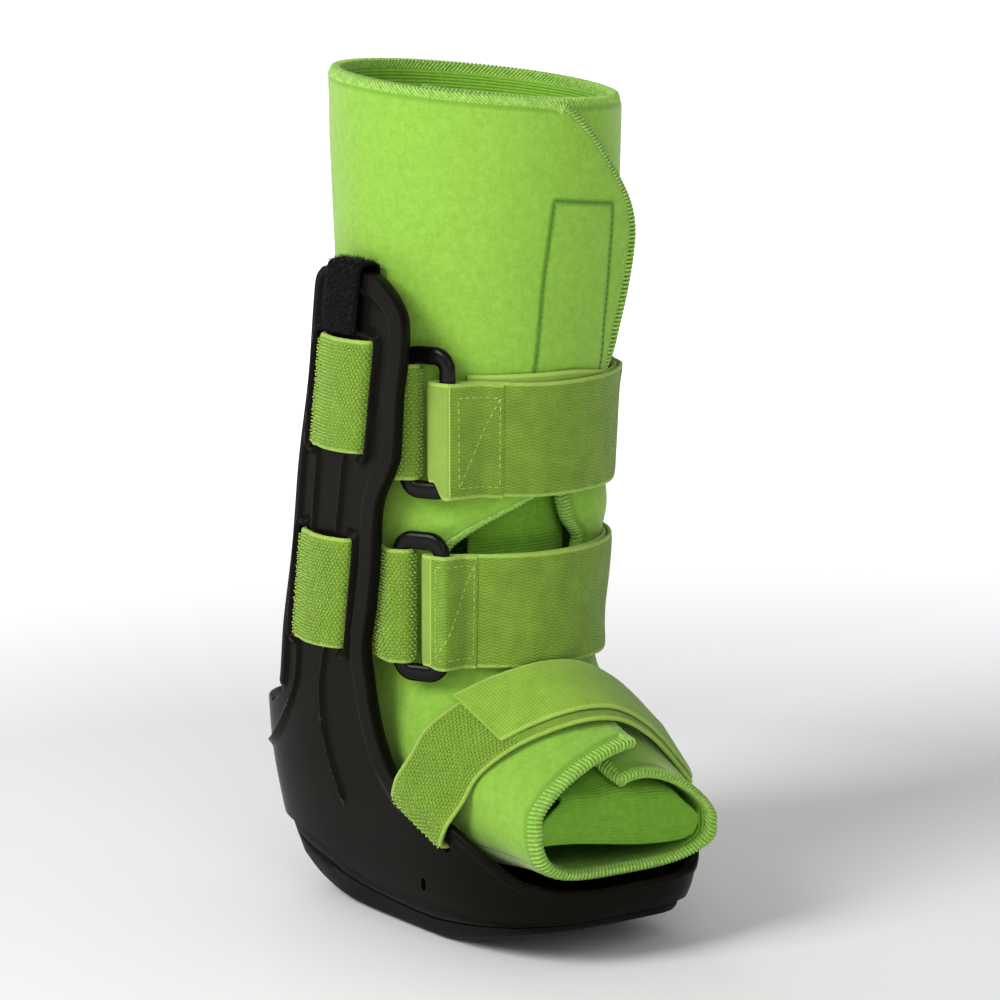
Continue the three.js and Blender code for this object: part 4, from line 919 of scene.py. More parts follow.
def make_shell():
    """Moulded shell of both sides, with its slots and drain holes cut."""
    walls = {side: shell_side(side) for side in (-1, 1)}
    points, faces = merged(shell_patches(walls, -1) + shell_patches(walls, 1))
    obj = piece("shell_moulding", points, faces, "moulded", "shell_plastic")
    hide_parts("shell")
    blocks = []
    for side in (-1, 1):
        for slot in (strut_slot(side, name) for name in STRAPS):
            for sign, width, shift in ((-1, FRONT_SLOT, FRONT_SHIFT), (1, BACK_SLOT, 0)):
                y = slot["y"] + sign * SLOT_SPACING / 2 + shift
                blocks.append(slot_block(side, y, slot["z"], SLOT_HEIGHT, width, slot["lean"], SLOT_CORNER))
        blocks += [slot_block(side, **FOOT_SLOT), slot_block(side, **DRAIN_HOLE)]
    cut(obj, blocks)


def make_outsole():
    """Rocker sole: plan rings of the shell moved in, from the tread line up to just under the shell,
    closed below by rows that run in to the middle line and above by a flat lid."""
    columns, power = 220, 2 / SQUARENESS
    theta = 2 * np.pi * (np.arange(columns) + 0.5) / columns
    c, s = signed_power(np.cos(theta), power), signed_power(np.sin(theta), power)
    rise = (0.0, 0.02, 0.06, 0.12, 0.3, 0.5, 0.62, 0.66, 0.70, 0.85, 1.0)
    fold = (3.2, 1.7, 0.7, 0.15, 0, 0, 0, 0.7, 0, 0, 0)

    def ring(z, inset):
        x, y = (shell_half_width(z) - inset) * c, (shell_reach(z, s < 0) - inset) * s
        return np.stack([x, y, z], axis=-1)

    def lid_at(y):
        return sole_edge(y) - CLEARANCE

    def closing(row, height):
        q = np.linspace(1, 0, 9)[1:, None]
        y = row[:, 1] * (0.25 + 0.75 * q)
        return np.stack([row[:, 0] * q, y, height(y)], axis=-1)

    wall = []
    for share, tuck in zip(rise, fold):
        z = np.full(columns, 8.0)
        for _ in range(6):
            inset = SOLE_INSET + np.maximum(0, 5 - z * 0.4) + tuck
            y = ring(z, inset)[:, 1]
            z = mix(tread_at(y), lid_at(y), share)
        wall.append(ring(z, inset))
    rows = np.concatenate([closing(wall[0], tread_at)[::-1], wall, closing(wall[-1], lid_at)])
    faces = grid_faces(len(rows), columns, wrap=True)
    obj = piece("sole_tread", rows.reshape(-1, 3), faces, "rubber", "sole_rubber", sharp=50)
    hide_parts("outsole")


# Straps

def around_leg(angle, radius):
    """Plan place at an angle round the leg's axis and a distance from it."""
    a = np.radians(angle)
    return np.stack([radius * np.sin(a), -radius * np.cos(a)], axis=-1)


def moved_aside(plan, distance):
    """Plan points moved to the right of the way they run, mitred at each corner."""
    come = unit(np.diff(plan, axis=-2, prepend=2 * plan[..., :1, :] - plan[..., 1:2, :]))
    go = unit(np.diff(plan, axis=-2, append=2 * plan[..., -1:, :] - plan[..., -2:-1, :]))
    along = unit(come + go)
    step = distance / np.maximum(0.7, np.sum(along * go, axis=-1))
    return plan + np.stack([along[..., 1], -along[..., 0]], axis=-1) * step[..., None]


def strap_rows(places, guides=0):
    """Middle surface of an upright strap: each row at its own height, each place on the leg, on the
    strut's side at a depth, or free in plan. The last guides only steer it and are left off."""
    def field(key, none=0):
        return np.array([p.get(key, none) for p in places], float)[None]

    share = np.linspace(-0.5, 0.5, BAND_ROWS)[:, None]
    dz = share * STRAP_HEIGHT - np.minimum(0, share) * 2 * field("gather")
    z = field("z") + dz
    angle = field("angle", np.nan) + 0 * z
    on_leg = ~np.isnan(angle)
    angle = np.where(on_leg, angle, 0)
    leg = around_leg(angle, leg_radius(angle, z) + STRAP_OFF)
    y = field("y") - np.tan(np.radians(field("lean"))) * dz
    side = field("side")
    x = np.where(side == 0, field("x"), side * across_at(y, z, field("depth")))
    plan = np.where(on_leg[..., None], leg, np.stack([x, y], axis=-1))
    plan = moved_aside(plan, field("lift"))
    return np.concatenate([plan, z[..., None]], axis=-1)[:, :len(places) - guides]


def ring_frame(name):
    """Centre, outward way, way along and height of the loop that joins a strap to its anchor."""
    angle, facing, height = STRAPS[name]["ring"]
    centre = around_leg(angle, leg_radius(angle, height) + RING_OFF)
    out = around_leg(facing, 1.0)
    along = np.array([-out[1], out[0]])
    half = (RING_WIDTH - RING_BAR) / 2
    return {"centre": centre, "out": out, "along": along, "left": centre - along * half,
            "right": centre + along * half, "z": height}


def turn_round(bar, ring, towards, z, slack):
    """Places round a bar of the loop, from its outer side through the hole to its inner side. In the
    hole the lower edge is gathered up to the loop's end."""
    depth = RING_DEPTH / 2 + STRAP_THICKNESS / 2 + 0.25
    breadth = RING_BAR / 2 + STRAP_THICKNESS / 2 + slack
    turn = np.radians([90, 60, 30, 0, -30, -60, -90])
    steps = [(depth, -RING_BAR / 2 - 0.3)] + [(np.sin(t) * depth, np.cos(t) * breadth) for t in turn]
    steps += [(-depth, -RING_BAR / 2)]
    spare = max(0, ring["z"] - z - (RING_HEIGHT - 2 * RING_END - STRAP_HEIGHT) / 2 + 0.3)
    return [{"x": bar[0] + ring["out"][0] * o + ring["along"][0] * s * towards,
             "y": bar[1] + ring["out"][1] * o + ring["along"][1] * s * towards, "z": z,
             "gather": spare * smooth(s, 0.4, 1.6)} for o, s in steps]


def woven(slot):
    """Places through a strut's slots: from inside the front slot, over the face, back in behind."""
    front = slot["y"] - SLOT_SPACING / 2 + 2.0
    back = slot["y"] + SLOT_SPACING / 2 - BACK_SLOT / 2 + STRAP_ROOM + 0.1
    outer, inner, middle = STRAP_ROOM + 0.5, -SHELL_WALL - STRAP_ROOM - 0.7, -SHELL_WALL / 2
    half = (outer - inner) / 2
    steps = [
        (inner - 0.3, front - 4.6), (middle - 1.9, front - 1.2), (middle, front),
        (middle + 1.9, front + 1.1), (outer, front + 3.8), (outer + FACE_BULGE, slot["y"] - 3),
        (outer + FACE_BULGE, slot["y"] + 4), (outer, back - 3.2), (outer, back - 1.4),
        (middle + half * 0.7, back - 0.1), (middle, back + 0.2), (middle - half * 0.7, back - 0.1),
        (inner, back - 1.4), (inner, back - 7)]
    return [dict(slot, depth=depth, y=y) for depth, y in steps]


def over_leg(name):
    """Places over the front of the leg, the free stretch and the weave through the left strut."""
    strap, slot = STRAPS[name], strut_slot(1, name)
    z, through = strap["middle"], woven(slot)
    on_leg = [{"angle": angle, "z": z} for angle in np.linspace(-38, strap["leave"], 17)]
    leave = around_leg(strap["leave"], leg_radius(strap["leave"], z) + STRAP_OFF)
    first = through[0]
    x = float(across_at(first["y"], slot["z"], first["depth"]))
    free = [{"x": mix(leave[0], x, s), "y": mix(leave[1], first["y"], s), "z": mix(z, slot["z"], s),
             "lean": s * slot["lean"]} for s in (0.33, 0.67)]
    return on_leg, free, through


def band(name, rows, finish, slot, node, steps, thickness=STRAP_THICKNESS, swell=0.5,
         plain=None):
    """Woven band: its middle surface made fine along its length, given two faces that draw together
    a little at the selvedges, and rounded edges. Plain is the stretch along it in the second finish."""
    middle, along = resampled(rows, steps, axis=1)
    middle, _ = resampled(middle, 17, axis=0)
    share = np.abs(np.linspace(-1, 1, 17))[:, None, None]
    offset = grid_normals(middle) * (thickness / 2 - 0.25 * smooth(share, 0.86, 1))
    outer, inner = middle + offset, middle - offset
    points, faces, origin, _ = padded_wall(outer, inner, swell)
    across = length_along(middle, 0)
    uv = np.stack(np.meshgrid(along, across), axis=-1).reshape(-1, 2)[origin]
    place = uv[faces[:, 0], 0]
    where = (place > plain[0]) & (place < plain[1]) if plain else None
    rim = across[-1] / 2 - np.abs(uv[:, 1] - across[-1] / 2)
    obj = piece(name, points, faces, finish, slot, uv, where, marks={"rim": rim})
    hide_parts(node)
    return {"outer": outer, "inner": inner, "middle": middle, "along": along, "across": across}


def on_band(strap, along, share, inside=False):
    """Points and outward normals on a band's face at distances along it and shares of its width."""
    rows, columns = strap["outer"].shape[:2]
    i = np.clip(np.interp(along, strap["along"], np.arange(columns)), 0, columns - 1.001)
    j = np.clip(np.asarray(share) * (rows - 1), 0, rows - 1.001)
    i0, j0 = i.astype(int), j.astype(int)
    fi, fj = (i - i0)[:, None], (j - j0)[:, None]

    def pick(grid):
        low, high = (mix(grid[row, i0], grid[row, i0 + 1], fi) for row in (j0, j0 + 1))
        return mix(low, high, fj)

    outer, inner = pick(strap["outer"]), pick(strap["inner"])
    normal = unit(outer - inner)
    return (inner, -normal) if inside else (outer, normal)


def sewn_line(strap, corners):
    """Stitch starts, ends and normals along a line of (distance along, share of the width)."""
    pitch, dash, sink = 2.65, 0.74, 0.04
    corners = np.asarray(corners, float)
    keys = run_length(corners * (1, strap["across"][-1]))
    step = keys[-1] / max(1, round(keys[-1] / pitch))
    at = np.arange(round(keys[-1] / step)) * step

    def spot(t):
        return on_band(strap, *along_line(t, keys, corners).T, True)

    (a, n), (b, m) = spot(at), spot(at + dash * step)
    return a - n * sink, b - m * sink, unit(n + m)


def box_stitch(name, strap, box):
    """Rows of stitches through a band's sewn end: a box and one diagonal."""
    left, right, low, high = box
    corners = [(left, low), (right, low), (right, high), (left, high), (left, low)]
    lines = [*zip(corners[:-1], corners[1:]), (corners[3], corners[1])]
    starts, ends, normals = map(np.concatenate, zip(*(sewn_line(strap, line) for line in lines)))
    piece(name, *stitches(starts, ends, normals, 0.2, 0.16), "thread", "strap_fabric")


def ridge(name, strap, along):
    """Rounded edge of a folded layer, straight across a band at a distance along it."""
    points, normal = on_band(strap, np.full(40, along), np.linspace(0.015, 0.985, 40), True)
    piece(name, *thread(points, 0.32, 8, normal), "ribbon", "strap_fabric")


def frayed_edge(name, strap, margin, seed):
    """Fine loose fibres along both selvedges of a band, but for a margin at its ends."""
    density, length = 3.0, 1.1
    rng = np.random.default_rng(seed)
    start, stop = margin, strap["along"][-1] - margin
    count = int(2 * (stop - start) * density)
    along = rng.uniform(start, stop, count)
    top = rng.random(count) < 0.5
    roots, normal = on_band(strap, along, np.where(top, 0.995, 0.005))
    inside, _ = on_band(strap, along, np.where(top, 0.93, 0.07))
    out = unit(roots - inside)
    roots = roots - normal * rng.uniform(0.1, STRAP_THICKNESS - 0.1, count)[:, None]
    ways = out + normal * rng.normal(0, 0.5, count)[:, None] + rng.normal(0, 0.45, (count, 3))
    piece(name, *bristles(roots, ways, rng.uniform(0.35, 1, count) * length, 0.09), "fibre", "hook_band")


def field_places(strap, start, stop, along, across, margin, seed, jitter):
    """Places in rows that are set over by half a space from one to the next, a little uneven."""
    rng = np.random.default_rng(seed)
    width = strap["across"][-1]
    s, w = np.meshgrid(np.arange(start, stop, along), np.arange(margin, width - margin, across))
    s = (s + 0.5 * along * (np.arange(s.shape[0]) % 2)[:, None]).ravel()
    s, w = s + rng.normal(0, jitter, s.shape), w.ravel() + rng.normal(0, jitter, s.shape)
    return s, w / width, rng


def hook_field(name, strap, start, stop, seed):
    """Field of small stiff hooks that stand up from a band's outer face and bend over along it."""
    s, share, rng = field_places(strap, start, stop, 1.35, 1.12, 1.0, seed, 0.07)
    roots, normal = on_band(strap, s, share)
    ahead, _ = on_band(strap, s + 0.5, share)
    tips = roots + normal * rng.uniform(0.75, 0.98, s.shape)[:, None] + rng.normal(0, 0.07, roots.shape)
    hooks = stitches(roots - normal * 0.1, tips, unit(ahead - roots), 0.3, 0.2, rings=4)
    piece(name, *hooks, "fibre", "hook_band")


def tape_field(name, strap, seed):
    """Dense dark bristles that lean down the tape's outer face."""
    s, share, rng = field_places(strap, 0.5, strap["along"][-1] - 0.5, 0.78, 0.62, 0.3, seed, 0.12)
    roots, normal = on_band(strap, s, share, True)
    ways = normal * rng.uniform(0.8, 1.2, s.shape)[:, None] + rng.normal(0, 0.28, roots.shape)
    hairs = bristles(roots - normal * 0.05, ways - (0, 0, 0.55), rng.uniform(0.6, 1.3, s.shape) * 1.6, 0.17)
    piece(name, *hairs, "tape_hair", "hook_tape")


def make_ring(name):
    """Loop: a rounded rectangle's outline carried round with a rounded section. The outline's heading
    turns evenly along each quarter round and is summed up over equal steps."""
    ring, steps, sides, power = ring_frame(name), 176, 20, 0.72
    half = np.array([RING_WIDTH - RING_BAR, RING_HEIGHT - RING_END]) / 2
    flat_w, flat_h = 2 * (half - RING_CORNER)
    arc = np.pi / 2 * RING_CORNER
    keys = np.cumsum([0, flat_h / 2, arc, flat_w, arc, flat_h, arc, flat_w, arc, flat_h / 2])
    turns = np.radians([90, 90, 180, 180, 270, 270, 360, 360, 450, 450])
    heading = np.interp(np.arange(steps) / steps * keys[-1], keys, turns)
    path = np.cumsum(np.stack([np.cos(heading), np.sin(heading)], axis=1), axis=0)
    path -= (path.max(axis=0) + path.min(axis=0)) / 2
    path *= 2 * half / np.ptp(path, axis=0)
    tangent = unit(np.roll(path, -1, 0) - np.roll(path, 1, 0))
    outward = np.stack([tangent[:, 1], -tangent[:, 0]], axis=1)
    turn = 2 * np.pi * np.arange(sides) / sides
    wide = mix(RING_BAR, RING_END, outward[:, 1:] ** 2) / 2
    a = signed_power(np.cos(turn), power) * wide
    b = signed_power(np.sin(turn), power)[:, None] * RING_DEPTH / 2
    flat = path[:, None] + outward[:, None] * a[..., None]
    plan = ring["centre"] + flat[..., :1] * ring["along"] + b * ring["out"]
    points = np.concatenate([plan, ring["z"] + flat[..., 1:]], axis=-1)
    faces = grid_faces(steps + 1, sides, wrap=True) % (steps * sides)
    obj = piece(f"{name}_loop", points.reshape(-1, 3), faces[:, ::-1], "gloss", "loop_plastic")
    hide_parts(f"{name}_ring")


def make_leg_straps():
    """Upper and lower leg strap: the under band, the over band that turns back round the loop, and the
    hook band that holds the loop to the right strut."""
    for seed, (name, strap) in enumerate(STRAPS.items()):
        on_leg, free, through = over_leg(name)
        ring, z, turn_z = ring_frame(name), strap["middle"], strap["turn"]
        lifted = [dict(p, z=z + strap["step"] * (1 - smooth(i, 6, 12))) for i, p in enumerate(on_leg)]
        band(f"{name}_band_under", strap_rows(lifted + free + through), "ribbon", "strap_fabric",
             f"{name}_inner_strap", 300)
        tail = [{"angle": strap["tail"] + angle, "z": mix(z, turn_z, share), "lift": -lift * LAYER}
                for angle, share, lift in TAIL]
        run = [dict(p, z=z + (turn_z - z) * (1 - smooth(i, 0, 5))) for i, p in enumerate(on_leg)]
        run = [dict(p, lift=LAYER) for p in run + free]
        rows = strap_rows(tail + turn_round(ring["right"], ring, -1, turn_z, 2.6) + run, guides=1)
        outer = band(f"{name}_band_over", rows, "woven ribbon", "strap_fabric", f"{name}_outer_strap", 300,
                     plain=(strap["fold"], PLAIN_END))
        box_stitch(f"{name}_box_stitch", outer, strap["box"])
        ridge(f"{name}_fold_edge", outer, strap["fold"])
        turn = turn_round(ring["left"], ring, 1, ring["z"], 0.4)
        rows = strap_rows(woven(strut_slot(-1, name))[::-1] + turn)
        anchor = band(f"{name}_anchor_band", rows, "hooks", "hook_band", f"{name}_anchor_strap", 220)
        hook_field(f"{name}_anchor_hooks", anchor, 2, anchor["along"][-1] - 2, 10 + seed)
        frayed_edge(f"{name}_anchor_fray", anchor, 2, 20 + seed)
        make_ring(name)


# Foot strap

def foot_rows(places, width):
    """Middle surface of the foot strap: places across, risen and ahead of the slots' middle line."""
    lean = np.radians(FOOT_SLOT["lean"])
    x, rise, ahead = np.array(places, float).T[:, None]
    share = np.linspace(0.5, -0.5, BAND_ROWS)[:, None]
    x = x * (1 - FOOT_FLARE * share * (0.6 + 0.4 * smooth(rise, 0, 20)))
    ahead = ahead + share * width
    y = FOOT_SLOT["y"] - np.sin(lean) * rise - np.cos(lean) * ahead
    return np.stack([x, y, FOOT_SLOT["z"] + np.cos(lean) * rise - np.sin(lean) * ahead], axis=-1)


def foot_turn(side):
    """Places round the rim above a foot slot, from outside to inside."""
    outer = FOOT_LINE[-1, 0] * SHELL_HALF_WIDTH - 0.2
    inner = outer - SHELL_WALL - 2 * STRAP_ROOM - 2.0
    middle = (outer + inner) / 2
    steps = [(outer, 2.4), (outer - 0.7, 0.9), (middle + 1.7, 0), (middle - 1.7, 0), (inner + 0.7, 0.9),
             (inner, 2.4), (inner, 4.4)]
    return [(side * x, rise, 0.0) for x, rise in steps]


def make_foot_straps():
    """Foot strap: the hook band from the right slot, and over it the plain band from the left one."""
    line = FOOT_LINE * (SHELL_HALF_WIDTH, FOOT_CREST, FOOT_WIDTH)
    share = FOOT_LINE[:, 0]
    over = line[share < FOOT_UNDER_END]
    over[:, 2] += FOOT_PEEK * smooth(share[share < FOOT_UNDER_END], -0.8, FOOT_TOP_START)
    under = band("foot_band_under", foot_rows(foot_turn(-1)[::-1] + over.tolist(), FOOT_WIDTH), "hooks",
                 "hook_band", "foot_strap_under", 260)
    upper, share = line[share > FOOT_TOP_START], share[share > FOOT_TOP_START]
    lift = LAYER * (1 - smooth(share, FOOT_UNDER_END, FOOT_UNDER_END + 0.15))
    top = np.concatenate([moved_aside(upper[:, :2], -lift), upper[:, 2:]], axis=1).tolist() + foot_turn(1)
    band("foot_band_top", foot_rows(top, FOOT_TOP_WIDTH), "webbing", "strap_fabric", "foot_strap_top", 260)
    middle_x = under["middle"][8][:, 0]
    covered = under["along"][np.argmin(np.abs(middle_x - FOOT_TOP_START * SHELL_HALF_WIDTH))]
    hook_field("foot_band_hooks", under, 3, covered + 4, 31)
    frayed_edge("foot_band_fray", under, 3, 32)


# Hook tape

def make_hook_tape(side, name):
    """Black tape folded over the top of a strut, with its field of hooks."""
    room = CLEARANCE + TAPE_THICKNESS / 2
    outer, inner = RELIEF + room + 0.2, -SHELL_WALL - room - 0.1
    top, bottom = STRUT_HEIGHT + room, STRAPS["upper"]["slot"][1] + SLOT_HEIGHT / 2 + 1.2
    steps = np.array([(inner, bottom), (inner, top - 1.4), (inner + 1.3, top), (outer - 1.3, top),
                      (outer, top - 1.4), (outer, bottom)])
    depth, z = steps[::-side].T[:, None]
    share = np.linspace(-0.5, 0.5, BAND_ROWS)[:, None]
    y = TAPE_PLACE + setback(side, STRUT_HEIGHT) + share * TAPE_WIDTH
    y = y - np.tan(np.radians(SLOT_LEAN)) * (z - STRUT_HEIGHT)
    z = z + 0 * y
    rows = np.stack([side * across_at(y, z, depth + 0 * y), y, z], axis=-1)
    tape = band(f"{name}_tape", rows, "tape", "hook_tape", f"{name}_hook_tape", 90,
                thickness=TAPE_THICKNESS, swell=0.4)
    tape_field(f"{name}_tape_bristles", tape, 40 + side)


# Finishes: woven zigzag's length in millimetres, and the bands' lighter edge

ZIGZAG = 4.1
SELVEDGE = (164, 196, 86)


def srgb(red, green, blue):
    """Linear colour from the usual 0 to 255 screen values."""
    c = np.array([red, green, blue]) / 255
    return (*np.where(c <= 0.04045, c / 12.92, ((c + 0.055) / 1.055) ** 2.4).tolist(), 1.0)


class Finish:
    """New material, with short ways to add nodes. Each gives back its output, to be used as an input."""

    def __init__(self, name):
        self.material = bpy.data.materials.new(name)
        self.material.use_nodes = True
        self.where = self.add("TexCoord", output="Object")

    def feed(self, node, inputs):
        """Sets a node's inputs, or links them to other nodes' outputs."""
        for key, value in inputs.items():
            if isinstance(value, bpy.types.NodeSocket):
                self.material.node_tree.links.new(value, node.inputs[key])
            else:
                node.inputs[key].default_value = value

    def add(self, kind, inputs=(), output=0, **settings):
        """Output of a new node."""
        node = self.material.node_tree.nodes.new("ShaderNode" + kind)
        for key, value in settings.items():
            setattr(node, key, value)
        self.feed(node, dict(inputs))
        return node.outputs[output]

    def done(self, inputs):
        """The material, its shader fed with these inputs."""
        self.feed(self.material.node_tree.nodes["Principled BSDF"], inputs)
        return self.material

    def noise(self, scale, detail, rough):
        """Noise in the boot's own space."""
        return self.add("TexNoise", {"Vector": self.where, "Scale": scale, "Detail": detail,
                                     "Roughness": rough}, "Fac")

    def math(self, operation, *values):
        """Sum over values. MULTIPLY_ADD is the first times the second, plus the third."""
        return self.add("Math", dict(enumerate(values)), operation=operation)

    def wave(self, value, length):
        """Sine wave of a length in millimetres."""
        return self.math("SINE", self.math("MULTIPLY", value, 2 * np.pi / (length * MM)))

    def ramp(self, value, low, high, start=0.0, stop=1.0):
        """Value carried from low and high to start and stop, and held there."""
        return self.add("MapRange", {"Value": value, "From Min": low, "From Max": high,
                                     "To Min": start, "To Max": stop})

    def tint(self, factor, low, high):
        """Colour between two, by a factor."""
        colours = (srgb(*c) if isinstance(c, tuple) else c for c in (low, high))
        return self.add("Mix", {"Factor": factor, **dict(zip("AB", colours))}, "Result", data_type="RGBA")

    def mark(self, name):
        """Number kept at a piece's points."""
        return self.add("Attribute", output="Fac", attribute_name=name)

    def cloth_axes(self):
        """Place along and across a piece's cloth."""
        uv = self.add("UVMap", output="UV", uv_map="cloth")
        return [self.add("SeparateXYZ", {"Vector": uv}, axis) for axis in "XY"]

    def bump(self, strength, distance, height, **normal):
        """Normal tilted by a height that stands for a distance in metres."""
        return self.add("Bump", {"Strength": strength, "Distance": distance, "Height": height, **normal})


def padded_cloth(name, low, high, sheen, rib=None, painted_shade=None, bump=0.4):
    """Brushed knit: fine felted grain, soft sheen and fine ribs where it is the lining. Where a shade
    colour is given, that colour is painted shade in the hollows of the seams and in a strip under the wound
    edge."""
    new = Finish(name)
    broad, fine = new.noise(380, 3, 0.6), new.noise(1500, 4, 0.7)
    colour = new.tint(new.ramp(new.math("ADD", broad, fine), 0.7, 1.3), low, high)
    height = fine
    if rib:
        height = new.math("MULTIPLY_ADD", new.wave(new.cloth_axes()[1], rib), 0.5, height)
    if painted_shade:
        # Painted shade: the colour darkens in the seams' hollows, which the bump also sinks, and under the
        # wound edge
        hollow = new.ramp(new.math("ABSOLUTE", new.mark("seam")), 1.5, 0.1)
        under = new.ramp(new.mark("edge"), OVERLOCK_REACH + 0.9, OVERLOCK_REACH - 0.5, stop=0.45)
        colour = new.tint(new.math("MAXIMUM", hollow, under), colour, painted_shade)
        height = new.math("MULTIPLY_ADD", hollow, -2.2, height)
    raised = new.bump(bump, 0.0005, height)
    return new.done({
        "Base Color": colour, "Normal": new.bump(0.3, 0.0006, broad, Normal=raised), "Roughness": 0.92,
        "Sheen Weight": sheen, "Sheen Roughness": 0.4, "Sheen Tint": (0.92, 1.0, 0.72, 1),
        "Specular IOR Level": 0.15})


def woven_cloth(name, low, high, contrast, row=1.07, steep=0.5, bump=0.6, crosswise=False):
    """Woven band: rows that run along it in a zigzag, or straight across it, crossed by fine threads,
    and a lighter selvedge along both edges."""
    new = Finish(name)
    along, across = new.cloth_axes()
    fold = new.math("PINGPONG", along, ZIGZAG * MM / 2)
    zigzag = new.math("MULTIPLY_ADD", fold, steep, across)
    rows = new.wave(along if crosswise else zigzag, row)
    cross = new.wave(across if crosswise else along, 0.82)
    both = new.math("MULTIPLY_ADD", cross, 0.35, rows)
    height = new.math("MULTIPLY_ADD", both, contrast, new.noise(1500, 3, 0.6))
    shade = new.math("MULTIPLY_ADD", height, 0.75, new.noise(140, 3, 0.55))
    colour = new.tint(new.ramp(shade, 0.35, 1.4), low, high)
    colour = new.tint(new.ramp(new.mark("rim"), 0.8, 0.45, stop=0.7), colour, SELVEDGE)
    return new.done({
        "Base Color": colour, "Normal": new.bump(bump, 0.0004, height), "Roughness": 0.8,
        "Sheen Weight": 0.15, "Specular IOR Level": 0.2})


def moulded_plastic(name, colour, light, rough, grain, index):
    """Moulded plastic: fine grain, slow changes of gloss, and small light specks."""
    new = Finish(name)
    specks = new.ramp(new.noise(620, 2, 0.5), 0.72, 0.80)
    return new.done({
        "Base Color": new.tint(specks, colour, light),
        "Roughness": new.ramp(new.noise(26, 4, 0.55), 0.3, 0.7, rough - 0.06, rough + 0.08),
        "Normal": new.bump(0.12, 0.0003, new.noise(grain, 3, 0.6)), "IOR": index})


def plain_fibre(name, low, high, rough=0.7, sheen=0.15, shine=0.3):
    """Single threads and hairs: colour that changes from one to the next."""
    new = Finish(name)
    noise = new.noise(700, 2, 0.6)
    return new.done({
        "Base Color": new.tint(new.ramp(noise, 0.35, 0.65), low, high), "Roughness": rough,
        "Normal": new.bump(0.3, 0.0002, noise), "Sheen Weight": sheen, "Specular IOR Level": shine})


FINISHES = {
    # The pile's third colour is painted shade for its seam hollows and under its wound edge
    "pile": padded_cloth("lime brushed pile", (122, 168, 56), (142, 187, 70), 0.55, painted_shade=(82, 130, 34)),
    "knit": padded_cloth("lime ribbed lining", (114, 168, 50), (136, 188, 64), 0.06, rib=1.25, bump=0.6),
    # The tongue's knit is darker than the lining's: painted shade for the hollow of the toe opening where
    # it hangs
    "curtain": padded_cloth("lime curtain knit with painted shade", (100, 152, 42), (120, 170, 54), 0.06, rib=1.1),
    "woven": woven_cloth("olive lime woven band", (90, 124, 32), (128, 162, 52), 0.36, steep=0.42),
    "ribbon": woven_cloth("olive lime smooth band", (116, 145, 52), (139, 167, 70), 0.12, bump=0.2),
    "webbing": woven_cloth("olive lime foot band", (114, 152, 40), (148, 186, 64), 0.3, row=1.0,
                           crosswise=True),
    "hooks": woven_cloth("olive lime hook ground", (92, 126, 32), (128, 164, 50), 0.3),
    "thread": plain_fibre("light lime thread", (128, 174, 62), (160, 202, 92)),
    "deep_thread": plain_fibre("deep lime thread", (62, 108, 26), (80, 130, 36)),
    "fibre": plain_fibre("pale hook fibre", (140, 176, 62), (166, 198, 84)),
    "moulded": moulded_plastic("moulded shell black", (17, 15, 11), (34, 30, 24), 0.3, 2600, 1.11),
    "gloss": moulded_plastic("loop gloss black", (10, 9, 8), (22, 20, 18), 0.24, 1800, 1.25),
    "rubber": moulded_plastic("sole rubber black", (16, 14, 12), (28, 26, 23), 0.5, 1500, 1.12),
    "tape": plain_fibre("black tape ground", (6, 6, 6), (13, 13, 13), 0.9, 0.0, 0.05),
    "tape_hair": plain_fibre("black tape bristles", (10, 10, 10), (40, 40, 42), 0.5, 0.0, 0.3),
}


# Stage: each light's place, width and power, and the camera about the leg's axis

LOOK_HEIGHT = 0.14
LIGHTS = {
    "key": ((-1.6, -0.15, 1.15), 0.9, 29.0),
    "front": ((-0.7, -1.7, 1.0), 1.2, 10.0),
    "back": ((0.3, 1.4, 1.4), 1.2, 7.0),
}
CAMERA_TURN = 35.0
CAMERA_REACH = 1.4
CAMERA_HEIGHT = 0.394


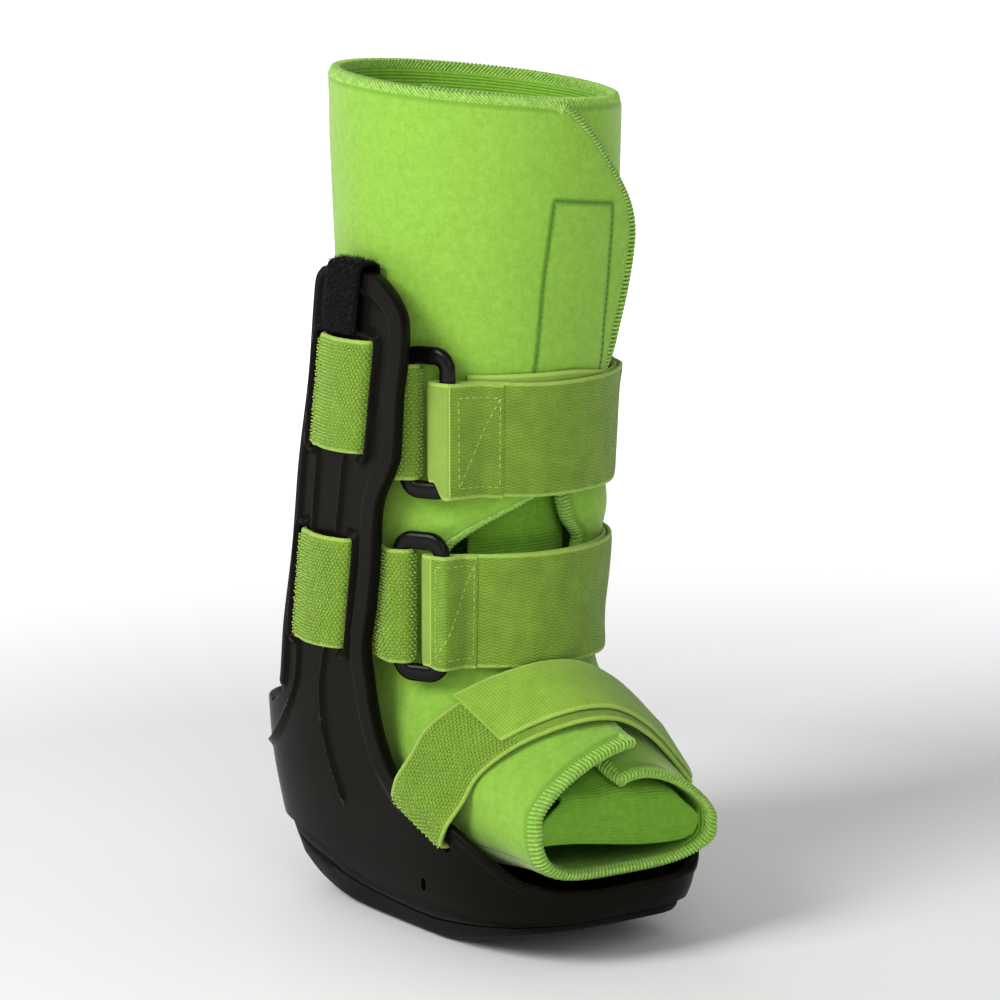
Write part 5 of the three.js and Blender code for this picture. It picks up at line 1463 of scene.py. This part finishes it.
def aimed(name, data, place, target):
    """Light or camera at a place, looking at a target."""
    obj = bpy.data.objects.new(name, data)
    obj.location = place
    obj.rotation_mode = "QUATERNION"
    obj.rotation_quaternion = (Vector(target) - Vector(place)).to_track_quat("-Z", "Y")
    bpy.context.scene.collection.objects.link(obj)
    return obj


def make_stage():
    """Pale floor, soft lights and the camera where the photograph was taken from."""
    scene = bpy.context.scene
    scene.view_settings.view_transform = "Standard"
    scene.world = bpy.data.worlds.new("studio")
    scene.world.use_nodes = True
    background = scene.world.node_tree.nodes["Background"]
    background.inputs["Color"].default_value = (1, 1, 1, 1)
    background.inputs["Strength"].default_value = 0.3
    mesh, size = bpy.data.meshes.new("floor"), 12.0
    corners = [(x * size, y * size, -0.0002) for x, y in ((-1, -1), (1, -1), (1, 1), (-1, 1))]
    mesh.from_pydata(corners, [], [(0, 1, 2, 3)])
    new = Finish("pale floor")
    far = new.add("VectorMath", {0: new.where}, "Value", operation="LENGTH")
    mesh.materials.append(new.done({
        "Base Color": (0.93, 0.93, 0.93, 1), "Roughness": 0.9, "Specular IOR Level": 0.1,
        "Emission Color": (1, 1, 1, 1), "Emission Strength": new.ramp(far, 0.3, 1.1, stop=0.85)}))
    floor = bpy.data.objects.new("floor", mesh)
    scene.collection.objects.link(floor)
    for name, (place, width, power) in LIGHTS.items():
        data = bpy.data.lights.new(name, "AREA")
        data.size, data.energy = width, power
        aimed(name, data, place, (0, 0, LOOK_HEIGHT))
    data = bpy.data.cameras.new("camera")
    data.sensor_width, data.lens, data.shift_x = 36.0, 152.7, 0.025
    axis, turn = Vector((AXIS_ACROSS * MM, AXIS_SHIFT * MM, 0)), np.radians(CAMERA_TURN)
    spot = Vector((-np.sin(turn) * CAMERA_REACH, -np.cos(turn) * CAMERA_REACH, CAMERA_HEIGHT))
    scene.camera = aimed("camera", data, axis + spot, axis + Vector((0, 0, LOOK_HEIGHT)))


make_stage()
make_liner()
make_tongue()
make_shell()
make_outsole()
make_leg_straps()
make_foot_straps()
make_hook_tape(-1, "right")
make_hook_tape(1, "left")
